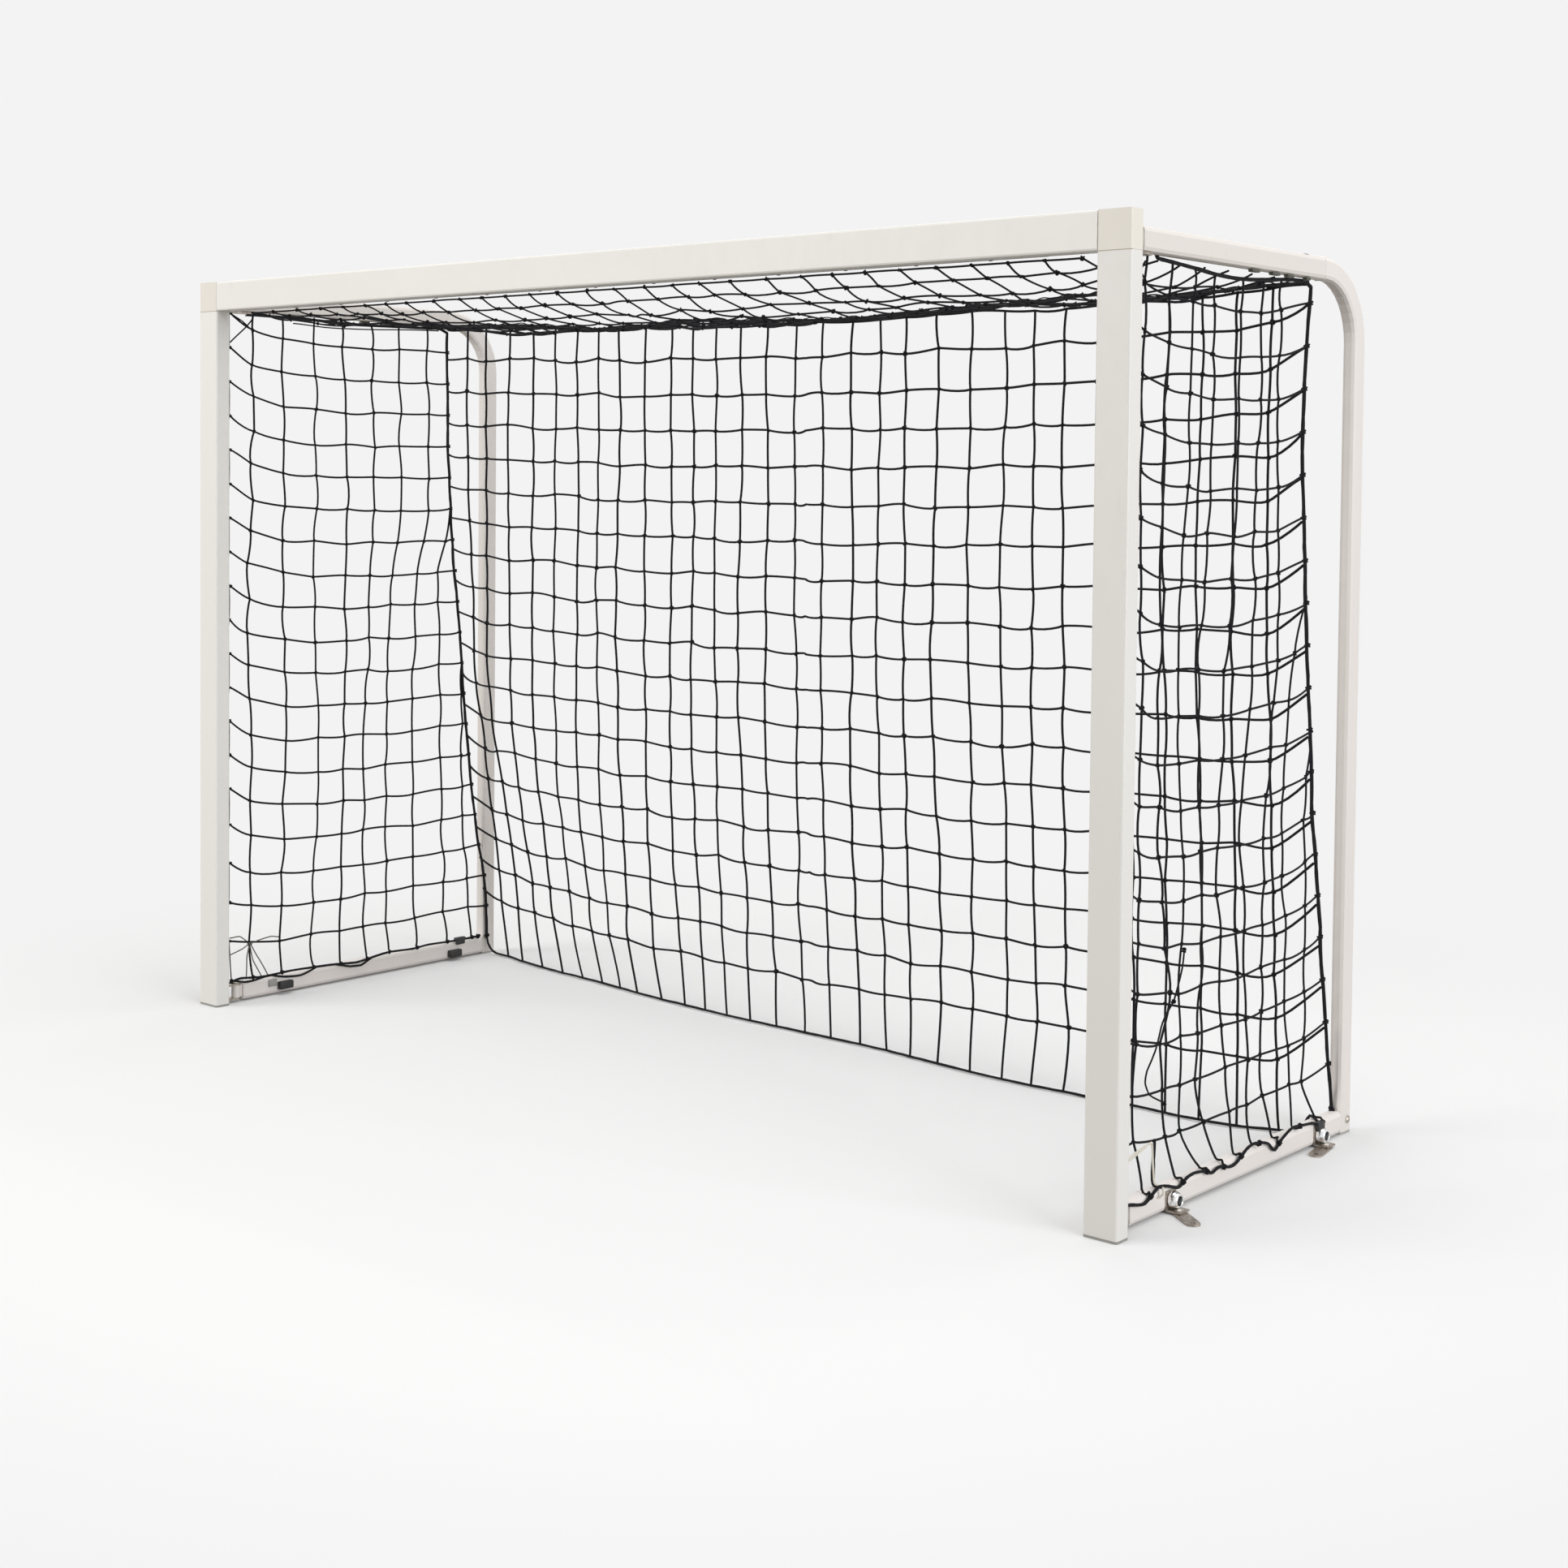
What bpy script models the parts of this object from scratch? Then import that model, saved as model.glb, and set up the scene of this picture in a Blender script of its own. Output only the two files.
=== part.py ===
# Mini handball goal with two folding side frames, hung net and floor anchors.
# Units are metres. X runs along the crossbar, the goal mouth faces -Y, Z is up.
import math

import bmesh
import bpy
from mathutils import Matrix, Vector

# Driving sizes of the fixed frame
OPENING_W = 2.400
OPENING_H = 1.600
PROFILE_W = 0.066
PROFILE_D = 0.036
PROFILE_WALL = 0.0025
PROFILE_R = 0.004
DEPTH = 0.851
FIT = 0.0003
RUNNING = 0.00008
CAP_T = 0.004
CAP_INSERT = 0.030
SPIGOT_L = 0.120
SPIGOT_R = 0.001

# Driving sizes of the side frames
TUBE_X = 0.028
TUBE_Y = 0.042
TUBE_WALL = 0.002
TUBE_R = 0.008
TUBE_INSET = 0.027
BEND_R = 0.150
BEND_STEPS = 9
BEND_RUN_IN = 0.011
ARM_DROP = 0.020
RAIL_LIFT = 0.003
SPLICE_IN = 0.040
SPLICE_OUT = 0.009
LEG_BOLT_Z = 0.026
LEG_BOLT_BACK = 0.017
LEG_BOLT_R = 0.0033
LEG_BOLT_L = 0.012
LEG_BOLT_HEAD_R = 0.0063
LEG_BOLT_HEAD_T = 0.0044
LEG_CAP_INSERT = 0.0154

# Driving sizes of the hinges
PIN_BACK = 0.034
PIN_R = 0.005
PIN_HEAD_R = 0.007
PIN_HEAD_T = 0.0025
PIN_HEAD_BEVEL = 0.001
BARREL_R = 0.010
BARREL_HALF = 0.014
NECK_X = 0.015
EAR_T = 0.004
PLATE_T = 0.004
PLATE_W = 0.028
PLATE_H = 0.040
FLANGE_Y = 0.011
FLANGE_T = 0.003
PLUG_L = 0.040
SHELF_REACH = 0.076
SHELF_CHAMFER = 0.008
SHELF_DROP = 0.012

# Driving sizes of the floor anchors
ANCHOR_FRONT = 0.204
ANCHOR_REAR = 0.134
ANCHOR_Z = 0.022
ANCHOR_T = 0.003
ANCHOR_W = 0.030
ANCHOR_H = 0.038
ANCHOR_REACH = 0.030
BOLT_R = 0.004
BOLT_HEAD_R = 0.007
BOLT_HEAD_T = 0.008
BOLT_HEAD_BEVEL = 0.002
BOLT_TAIL = 0.012
CUP_R = 0.0145
CUP_T = 0.006
CUP_FLOOR = 0.003
CUP_EDGE = 0.002
CUP_LIP = 0.0035
FOOT_T = 0.0033
FOOT_R = 0.013
FOOT_L = 0.058
FOOT_ANGLE = {"front": 35, "rear": 80}
FOOT_PIVOT = 0.018
FOOT_HOLE_R = 0.0045
STUB_R = 0.004

# Driving sizes of the net, its cords and hooks
TWINE = 0.004
CORD_R = 0.004
MESH_COARSE = 0.160
HOOK_W = 0.010
HOOK_BASE = 0.002
HOOK_H = 0.009
HOOK_LIP = 0.0025
HOOK_ARM = 0.004
NET_FRONT_GAP = 0.014
NET_MARGIN = 0.017
NET_REAR_GAP = 0.022
REAR_KICK = 0.142
BACK_KICK = 0.050
PULL_REACH = 0.250
REAR_KNEE = 1.150
REAR_SHAPE = 1.05
REAR_RISE = 0.050
CORD_TURN = 0.014
TOP_NET_GAP = 0.003
REAR_CORD_SAG = 0.024
TOP_NET_SAG = 0.045
GROUND_CORD_RISE = 0.034
NET_TUCK = 0.024

# Sizes worked out from those above, with depths counted from the goal's front face
HEIGHT = OPENING_H + PROFILE_W
HALF_W = OPENING_W / 2 + PROFILE_W
POST_X = HALF_W - PROFILE_W / 2
TUBE_C = HALF_W - TUBE_INSET - TUBE_X / 2
PIN_Y = PROFILE_D + PIN_BACK
ARM_TOP = HEIGHT - ARM_DROP
ARM_C = ARM_TOP - TUBE_Y / 2
ARM_LOW = ARM_TOP - TUBE_Y
RAIL_C = RAIL_LIFT + TUBE_Y / 2
RAIL_TOP = RAIL_LIFT + TUBE_Y
SEAM_Y = DEPTH - BEND_R - BEND_RUN_IN
REAR_BASE = SEAM_Y - NET_REAR_GAP
TUBE_START = PIN_Y + FLANGE_Y + FLANGE_T
LEG_FRONT = DEPTH - TUBE_Y
ANCHOR_Y = {"front": ANCHOR_FRONT, "rear": DEPTH - ANCHOR_REAR}
CORD_TOP = ARM_LOW - FIT - CORD_R
CORD_LOW = RAIL_TOP + FIT + CORD_R
SIDE_NET_TOP = CORD_TOP - NET_MARGIN
SIDE_NET_LOW = CORD_LOW + NET_MARGIN - CORD_R
NET_FRONT = PROFILE_D + NET_FRONT_GAP
NET_SPACE = CORD_R + TWINE / 2 + FIT
SIDE_CORD_IN = TUBE_C - CORD_R - FIT
RAIL_IN = TUBE_C - TUBE_X / 2 - FIT
ROUND = 24
SIDES = {"l": -1, "r": 1}


def depth(y):
    return y - DEPTH / 2


def move(x=0.0, y=0.0, z=0.0):
    return Matrix.Translation((x, y, z))


def turn(degrees, axis):
    return Matrix.Rotation(math.radians(degrees), 4, axis)


# Materials: colour, roughness and metallic value of each finish
WHITE = ((0.87, 0.86, 0.83), 0.38, 0.0)
CAST = ((0.82, 0.80, 0.75), 0.42, 0.0)
ZINC = ((0.42, 0.39, 0.36), 0.40, 0.9)
CHROME = ((0.80, 0.80, 0.80), 0.12, 1.0)
BLACK = ((0.02, 0.02, 0.022), 0.50, 0.0)
TWINE_BLACK = ((0.015, 0.015, 0.020), 0.85, 0.0)

for old in list(bpy.data.objects):
    bpy.data.objects.remove(old, do_unlink=True)
for old in list(bpy.data.collections):
    bpy.data.collections.remove(old)
PARTS = bpy.data.collections.new("mini_handball_goal")
CUTTERS = bpy.data.collections.new("cutters")
bpy.context.scene.collection.children.link(PARTS)
bpy.context.scene.collection.children.link(CUTTERS)


def part(name, data, look, place=Matrix.Identity(4), pivot=None, smooth=False):
    obj = bpy.data.objects.new(name, data)
    PARTS.objects.link(obj)
    obj.matrix_world = place
    if pivot is not None:
        obj.parent = pivot
        obj.matrix_parent_inverse = pivot.matrix_world.inverted()
    colour, rough, metal = look
    mat = bpy.data.materials.new(name)
    mat.use_nodes = True
    shader = mat.node_tree.nodes["Principled BSDF"]
    shader.inputs["Base Color"].default_value = (*colour, 1)
    shader.inputs["Roughness"].default_value = rough
    shader.inputs["Metallic"].default_value = metal
    obj.data.materials.append(mat)
    if smooth:
        obj.data.shade_smooth()
        obj.data.set_sharp_from_angle(angle=math.radians(30))
    return obj


def pivot_at(name, x, y, z):
    empty = bpy.data.objects.new(name, None)
    PARTS.objects.link(empty)
    empty.matrix_world = move(x, y, z)
    bpy.context.view_layer.update()
    return empty


def cutter(data, place=Matrix.Identity(4)):
    obj = bpy.data.objects.new("cutter", data)
    CUTTERS.objects.link(obj)
    obj.matrix_world = place
    obj.hide_render = True
    obj.display_type = "WIRE"
    return obj


def combine(obj, operation, others):
    for other in others:
        mod = obj.modifiers.new(operation.lower(), "BOOLEAN")
        mod.operation = operation
        mod.solver = "EXACT"
        mod.object = other
    return obj


def as_mesh(bm):
    bmesh.ops.recalc_face_normals(bm, faces=bm.faces)
    mesh = bpy.data.meshes.new("shape")
    bm.to_mesh(mesh)
    bm.free()
    return mesh


def plate(points, low, high):
    # A flat outline in XY given its thickness from low to high along Z
    curve = bpy.data.curves.new("outline", "CURVE")
    curve.dimensions = "2D"
    curve.fill_mode = "BOTH"
    curve.extrude = (high - low) / 2
    line = curve.splines.new("POLY")
    line.points.add(len(points) - 1)
    for point, (x, y) in zip(line.points, points):
        point.co = (x, y, 0, 1)
    line.use_cyclic_u = True
    shape = bpy.data.objects.new("outline", curve)
    CUTTERS.objects.link(shape)
    bpy.context.view_layer.update()
    graph = bpy.context.evaluated_depsgraph_get()
    bm = bmesh.new()
    flat = bpy.data.meshes.new_from_object(shape.evaluated_get(graph))
    bm.from_mesh(flat)
    bmesh.ops.remove_doubles(bm, verts=bm.verts, dist=0.00001)
    bmesh.ops.translate(bm, verts=bm.verts, vec=(0, 0, (low + high) / 2))
    bpy.data.objects.remove(shape)
    return as_mesh(bm)


def arc(cx, cy, r, start, end, steps):
    points = []
    for k in range(steps + 1):
        a = math.radians(start + (end - start) * k / steps)
        points.append((cx + r * math.cos(a), cy + r * math.sin(a)))
    return points


def rounded(w, h, r, steps=2):
    points = []
    for k, (x, y) in enumerate(((1, 1), (-1, 1), (-1, -1), (1, -1))):
        points += arc(x * (w / 2 - r), y * (h / 2 - r), r, 90 * k, 90 * k + 90, steps)
    return points


def rod(r, low, high, steps=ROUND):
    bm = bmesh.new()
    bmesh.ops.create_cone(bm, cap_ends=True, segments=steps, radius1=r, radius2=r,
                          depth=high - low, matrix=move(z=(low + high) / 2))
    return as_mesh(bm)


def profile(points):
    # An edge chain at +X for a Screw modifier, outer side running down
    mesh = bpy.data.meshes.new("profile")
    mesh.from_pydata([(r, 0, z) for r, z in points], [(k, k + 1) for k in range(len(points) - 1)], [])
    return mesh


def spin(obj, steps=ROUND):
    mod = obj.modifiers.new("turned", "SCREW")
    mod.angle = 2 * math.pi
    mod.steps = steps
    mod.render_steps = steps
    mod.use_merge_vertices = True
    mod.merge_threshold = 0.00001
    return obj


def open_ring(bm, w, h, r):
    verts = [bm.verts.new((x, y, 0)) for x, y in rounded(w, h, r)]
    return [bm.edges.new(pair) for pair in zip(verts, verts[1:] + verts[:1])]


def pull(bm, edges, vec):
    out = bmesh.ops.extrude_edge_only(bm, edges=edges)
    moved = {v for v in out["geom"] if isinstance(v, bmesh.types.BMVert)}
    bmesh.ops.translate(bm, verts=list(moved), vec=vec)
    return [e for e in out["geom"] if isinstance(e, bmesh.types.BMEdge) and set(e.verts) <= moved]


def skin(w, h, r, low, high):
    bm = bmesh.new()
    edges = open_ring(bm, w, h, r)
    bmesh.ops.translate(bm, verts=bm.verts, vec=(0, 0, low))
    pull(bm, edges, (0, 0, high - low))
    return as_mesh(bm)


def walled(obj, wall):
    mod = obj.modifiers.new("wall", "SOLIDIFY")
    mod.thickness = wall
    mod.offset = -1
    mod.use_even_offset = True
    mod.use_rim = True
    return obj


def cord(name, points, look, pivot=None):
    curve = bpy.data.curves.new(name, "CURVE")
    curve.dimensions = "3D"
    curve.bevel_depth = CORD_R
    curve.bevel_resolution = 2
    curve.use_fill_caps = True
    line = curve.splines.new("POLY")
    line.points.add(len(points) - 1)
    for point, co in zip(line.points, points):
        point.co = (*co, 1)
    return part(name, curve, look, pivot=pivot)


def lattice(name, columns, rows, shape, look, pivot=None):
    # A grid bent to the hung shape, each edge of which becomes a square twine
    bm = bmesh.new()
    bmesh.ops.create_grid(bm, x_segments=columns, y_segments=rows, size=0.5)
    for v in bm.verts:
        v.co = Vector(shape(v.co.x + 0.5, v.co.y + 0.5))
    obj = part(name, as_mesh(bm), look, pivot=pivot)
    mod = obj.modifiers.new("twine", "WIREFRAME")
    mod.thickness = TWINE
    mod.offset = 0
    mod.use_replace = True
    mod.use_boundary = True
    mod.use_even_offset = True
    return obj


# Fixed frame: crossbar, posts, cast corner blocks with spigots, foot caps
insert_w = PROFILE_W - 2 * PROFILE_WALL - 2 * FIT
insert_d = PROFILE_D - 2 * PROFILE_WALL - 2 * FIT
bar_z = OPENING_H + PROFILE_W / 2
mid_y = depth(PROFILE_D / 2)


def add_crossbar():
    half = OPENING_W / 2 - FIT / 2
    bar = part("crossbar", skin(PROFILE_W, PROFILE_D, PROFILE_R, -half, half), WHITE,
               move(0, mid_y, bar_z) @ turn(90, "Y"))
    walled(bar, PROFILE_WALL)


def add_post(tag, s):
    post = part("post_" + tag, skin(PROFILE_W, PROFILE_D, PROFILE_R, CAP_T + FIT, OPENING_H - FIT / 2),
                WHITE, move(s * POST_X, mid_y))
    walled(post, PROFILE_WALL)


def add_corner(tag, s):
    here = move(s * POST_X, mid_y)
    spigot = rounded(insert_w, insert_d, SPIGOT_R, 1)
    down = cutter(plate(spigot, OPENING_H - SPIGOT_L, bar_z), here)
    along = cutter(plate(spigot, 0, SPIGOT_L + PROFILE_W / 2),
                   move(s * (OPENING_W / 2 - SPIGOT_L), mid_y, bar_z) @ turn(90 * s, "Y"))
    block = part("corner_" + tag, plate(rounded(PROFILE_W, PROFILE_D, PROFILE_R),
                                        OPENING_H + FIT / 2, HEIGHT), CAST, here)
    combine(block, "UNION", [down, along])


def add_foot_cap(tag, s):
    here = move(s * POST_X, mid_y)
    cap = part("foot_cap_" + tag, plate(rounded(PROFILE_W, PROFILE_D, PROFILE_R), 0, CAP_T), BLACK, here)
    insert = plate(rounded(insert_w, insert_d, SPIGOT_R, 1), CAP_T / 2, CAP_T + CAP_INSERT)
    combine(cap, "UNION", [cutter(insert, here)])


# Hinges: a bracket with two ears on the frame, a pin, and a knuckle plugged into the moving tube
ear_gap = BARREL_HALF + FIT
pin_half = ear_gap + EAR_T + FIT


def add_bracket(tag, s, level, z):
    here = move(s * TUBE_C, depth(PROFILE_D + FIT))
    hinge = move(s * TUBE_C, depth(PIN_Y), z)
    half_w = PLATE_W / 2
    back = [(-half_w, 0), (half_w, 0), (half_w, PLATE_T), (-half_w, PLATE_T)]
    root = PLATE_T / 2 - PIN_BACK + FIT
    ear = [(BARREL_R, root), *arc(0, 0, BARREL_R, 0, 180, 8), (-BARREL_R, root)]
    pieces = [cutter(plate(ear, -ear_gap - EAR_T, -ear_gap), hinge),
              cutter(plate(ear, ear_gap, ear_gap + EAR_T), hinge)]
    low = z - PLATE_H / 2
    if level == "upper":
        low = ARM_LOW - SHELF_DROP
        tip = half_w - SHELF_CHAMFER
        shelf = [(-half_w, PLATE_T / 2), (half_w, PLATE_T / 2), (half_w, SHELF_REACH - SHELF_CHAMFER),
                 (tip, SHELF_REACH), (-tip, SHELF_REACH), (-half_w, SHELF_REACH - SHELF_CHAMFER)]
        pieces.append(cutter(plate(shelf, ARM_LOW - FIT - EAR_T, ARM_LOW - FIT), here))
    bracket = part(f"hinge_bracket_{level}_{tag}", plate(back, low, z + PLATE_H / 2), ZINC, here)
    combine(bracket, "UNION", pieces)
    combine(bracket, "DIFFERENCE", [cutter(rod(PIN_R + RUNNING, -PLATE_H, PLATE_H), hinge)])


def add_pin(tag, s, level, z):
    head = pin_half + PIN_HEAD_T
    shape = profile([(0, head), (PIN_HEAD_R - PIN_HEAD_BEVEL, head), (PIN_HEAD_R, head - PIN_HEAD_BEVEL),
                     (PIN_HEAD_R, pin_half), (PIN_R, pin_half), (PIN_R, -pin_half), (0, -pin_half)])
    spin(part(f"hinge_pin_{level}_{tag}", shape, ZINC, move(s * TUBE_C, depth(PIN_Y), z), smooth=True))


plug = rounded(TUBE_X - 2 * TUBE_WALL - 2 * FIT, TUBE_Y - 2 * TUBE_WALL - 2 * FIT, TUBE_R - TUBE_WALL)


def add_knuckle(tag, s, level, z, pivot):
    hinge = move(s * TUBE_C, depth(PIN_Y), z)
    facing = hinge @ turn(-90, "X")
    neck = rounded(NECK_X, 2 * BARREL_HALF, SPIGOT_R, 1)
    middle = FLANGE_Y + FLANGE_T / 2
    pieces = [plate(neck, (PIN_R + BARREL_R) / 2, middle),
              plate(rounded(TUBE_X, TUBE_Y, TUBE_R), FLANGE_Y, FLANGE_Y + FLANGE_T - FIT),
              plate(plug, middle, FLANGE_Y + FLANGE_T + PLUG_L)]
    knuckle = part(f"hinge_knuckle_{level}_{tag}", rod(BARREL_R, -BARREL_HALF, BARREL_HALF), CAST,
                   hinge, pivot)
    combine(knuckle, "UNION", [cutter(piece, facing) for piece in pieces])
    combine(knuckle, "DIFFERENCE", [cutter(rod(PIN_R + RUNNING, -PLATE_H, PLATE_H), hinge)])


# Side frames: straight top arm, spliced bent rear tube with foot cap and bolt, ground rail
def lengthwise(s, z):
    return move(s * TUBE_C, depth(0), z) @ turn(-90, "X")


def add_arm(tag, s, pivot):
    arm = part("arm_" + tag, skin(TUBE_X, TUBE_Y, TUBE_R, TUBE_START, SEAM_Y - FIT / 2), WHITE,
               lengthwise(s, ARM_C), pivot)
    walled(arm, TUBE_WALL)
    part("arm_splice_" + tag, plate(plug, SEAM_Y - SPLICE_IN, SEAM_Y + SPLICE_OUT), CAST,
         lengthwise(s, ARM_C), pivot)


def add_rear_tube(tag, s, pivot):
    bend_y = DEPTH - BEND_R
    bend_z = ARM_TOP - BEND_R
    bm = bmesh.new()
    edges = open_ring(bm, TUBE_X, TUBE_Y, TUBE_R)
    bmesh.ops.transform(bm, verts=bm.verts, matrix=move(0, depth(SEAM_Y + FIT / 2), ARM_C) @ turn(-90, "X"))
    edges = pull(bm, edges, (0, bend_y - SEAM_Y - FIT / 2, 0))
    out = bmesh.ops.spin(bm, geom=edges, cent=(0, depth(bend_y), bend_z), axis=(-1, 0, 0),
                         angle=math.pi / 2, steps=BEND_STEPS)
    edges = [g for g in out["geom_last"] if isinstance(g, bmesh.types.BMEdge)]
    pull(bm, edges, (0, 0, CAP_T + FIT - bend_z))
    tube = part("rear_tube_" + tag, as_mesh(bm), WHITE, move(s * TUBE_C), pivot)
    walled(tube, TUBE_WALL)
    bolt_at = move(s * (TUBE_C + TUBE_X / 2), depth(DEPTH - LEG_BOLT_BACK), LEG_BOLT_Z) @ turn(90 * s, "Y")
    hole = cutter(rod(LEG_BOLT_R + FIT, -TUBE_X / 2, TUBE_X / 2, 16), bolt_at)
    combine(tube, "DIFFERENCE", [hole])
    dome = [(LEG_BOLT_HEAD_R * math.sin(math.radians(a)), FIT + LEG_BOLT_HEAD_T * math.cos(math.radians(a)))
            for a in (0, 35, 70, 90)]
    shape = profile([*dome, (LEG_BOLT_R, FIT), (LEG_BOLT_R, -LEG_BOLT_L), (0, -LEG_BOLT_L)])
    spin(part("leg_bolt_" + tag, shape, ZINC, bolt_at, pivot, smooth=True), 16)


def add_leg_cap(tag, s, pivot):
    here = move(s * TUBE_C, depth(DEPTH - TUBE_Y / 2))
    cap = part("leg_cap_" + tag, plate(rounded(TUBE_X, TUBE_Y, TUBE_R), 0, CAP_T), BLACK, here, pivot)
    insert = cutter(plate(plug, CAP_T / 2, CAP_T + LEG_CAP_INSERT), here)
    combine(cap, "UNION", [insert])


def add_rail(tag, s, pivot):
    rail = part("ground_rail_" + tag, skin(TUBE_X, TUBE_Y, TUBE_R, TUBE_START, LEG_FRONT - FIT), WHITE,
                lengthwise(s, RAIL_C), pivot)
    walled(rail, TUBE_WALL)
    holes = [cutter(rod(BOLT_R + RUNNING, -TUBE_X, TUBE_X), move(s * TUBE_C, depth(y), ANCHOR_Z) @ turn(90, "Y"))
             for y in ANCHOR_Y.values()]
    combine(rail, "DIFFERENCE", holes)


# Floor anchors: angle bracket with a stub, foot swivelling on it, cup washer, clamp screw through the rail
cup_base = ANCHOR_T + 2 * FIT
cup_seat = cup_base + CUP_FLOOR


def add_anchor(tag, s, spot, pivot):
    face = move(s * (TUBE_C + TUBE_X / 2), depth(ANCHOR_Y[spot]))
    outward = face @ move(z=ANCHOR_Z) @ turn(90 * s, "Y")
    stub_at = face @ move(s * FOOT_PIVOT)
    floor = FOOT_T + FIT
    angle = [(FIT, floor), (ANCHOR_REACH, floor), (ANCHOR_REACH, floor + ANCHOR_T),
             (FIT + ANCHOR_T, floor + ANCHOR_T), (FIT + ANCHOR_T, ANCHOR_H), (FIT, ANCHOR_H)]
    flip = turn(90, "X") if s > 0 else turn(180, "Z") @ turn(90, "X")
    bracket = part(f"anchor_bracket_{spot}_{tag}", plate(angle, -ANCHOR_W / 2, ANCHOR_W / 2), ZINC,
                   face @ flip, pivot)
    combine(bracket, "UNION", [cutter(rod(STUB_R, FIT, floor + ANCHOR_T / 2), stub_at)])
    combine(bracket, "DIFFERENCE", [cutter(rod(BOLT_R + RUNNING, -ANCHOR_T, 3 * ANCHOR_T), outward)])

    bore = BOLT_R + RUNNING
    rim = BOLT_HEAD_R + 2 * FIT
    top = cup_base + CUP_T
    cup = profile([(bore, cup_seat), (rim, cup_seat), (CUP_R - CUP_LIP - CUP_EDGE, top), (CUP_R - CUP_EDGE, top),
                   (CUP_R, top - CUP_EDGE), (CUP_R, cup_base), (bore, cup_base), (bore, cup_seat)])
    spin(part(f"anchor_cup_{spot}_{tag}", cup, CHROME, outward, pivot, smooth=True))

    head = cup_seat + FIT
    tail = -TUBE_X - BOLT_TAIL
    crown = head + BOLT_HEAD_T
    screw = profile([(0, crown), (BOLT_HEAD_R - BOLT_HEAD_BEVEL, crown), (BOLT_HEAD_R, crown - BOLT_HEAD_BEVEL),
                     (BOLT_HEAD_R, head), (BOLT_R, head), (BOLT_R, tail), (0, tail)])
    spin(part(f"clamp_screw_{spot}_{tag}", screw, BLACK, outward, pivot, smooth=True))

    heading = -FOOT_ANGLE[spot] if s > 0 else 180 + FOOT_ANGLE[spot]
    outline = arc(FOOT_L, 0, FOOT_R, -90, 90, 8) + arc(0, 0, FOOT_R, 90, 270, 8)
    aim = stub_at @ turn(heading, "Z")
    foot = part(f"anchor_foot_{spot}_{tag}", plate(outline, 0, FOOT_T), ZINC, aim, pivot)
    combine(foot, "DIFFERENCE", [cutter(rod(STUB_R + RUNNING, -FOOT_T, 2 * FOOT_T), stub_at),
                                 cutter(rod(FOOT_HOLE_R, -FOOT_T, 2 * FOOT_T, 16), aim @ move(FOOT_L))])


# Net hooks: a strip with a row of hooks behind each post and behind the crossbar
def add_hook_strip(name, length, place):
    # Built with the strip standing along Z, its back at Y = 0
    reach = NET_FRONT - PROFILE_D - TWINE / 2 - FIT
    inner = reach - HOOK_LIP
    hook = [(HOOK_BASE / 2, 0), (reach, HOOK_LIP), (reach, HOOK_H), (inner, HOOK_H),
            (inner, HOOK_LIP + HOOK_ARM / 2), (HOOK_BASE / 2, HOOK_ARM)]
    stand = turn(90, "Z") @ turn(90, "X")
    shape = plate(hook, -HOOK_W / 2, HOOK_W / 2)
    strip = plate([(FIT, 0), (HOOK_BASE, 0), (HOOK_BASE, length), (FIT, length)], -HOOK_W / 2, HOOK_W / 2)
    obj = part(name, strip, BLACK, place @ stand)
    count = int(length / MESH_COARSE)
    first = (length - (count - 1) * MESH_COARSE) / 2
    bm = bmesh.new()
    for k in range(count):
        row = shape.copy()
        row.transform(move(0, first + k * MESH_COARSE))
        bm.from_mesh(row)
    combine(obj, "UNION", [cutter(as_mesh(bm), place @ stand)])


def add_hooks():
    length = SIDE_NET_TOP - 2 * SIDE_NET_LOW
    for tag, s in SIDES.items():
        add_hook_strip("post_hooks_" + tag, length, move(s * TUBE_C, depth(PROFILE_D), SIDE_NET_LOW * 1.5))
    length = OPENING_W - 2 * SPIGOT_L
    add_hook_strip("crossbar_hooks", length,
                   move(length / 2, depth(PROFILE_D), OPENING_H + HOOK_W / 2 + FIT) @ turn(-90, "Y"))


# Net and cords
def rear_edge(z):
    # Depth of the net's rear edge, which hangs from the arm and is drawn back to the leg's foot
    drop = max(0.0, 1 - z / REAR_KNEE)
    rise = max(0.0, z / REAR_KNEE - 1)
    return REAR_BASE + REAR_KICK * drop ** REAR_SHAPE + REAR_RISE * rise ** 2


def back_depth(x, z):
    # The back net hangs nearly straight, and only near the side frames is it pulled back with their edge
    hang = REAR_BASE + BACK_KICK * max(0.0, 1 - z / REAR_KNEE) ** REAR_SHAPE
    return hang + (rear_edge(z) - hang) * math.exp((abs(x) - TUBE_C) / PULL_REACH)


def rear_cord_z(x):
    return CORD_TOP - REAR_CORD_SAG * (1 - (x / SIDE_CORD_IN) ** 2)


def ground_cord_z(x):
    return CORD_R + FIT + GROUND_CORD_RISE * (x / RAIL_IN) ** 6


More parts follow.
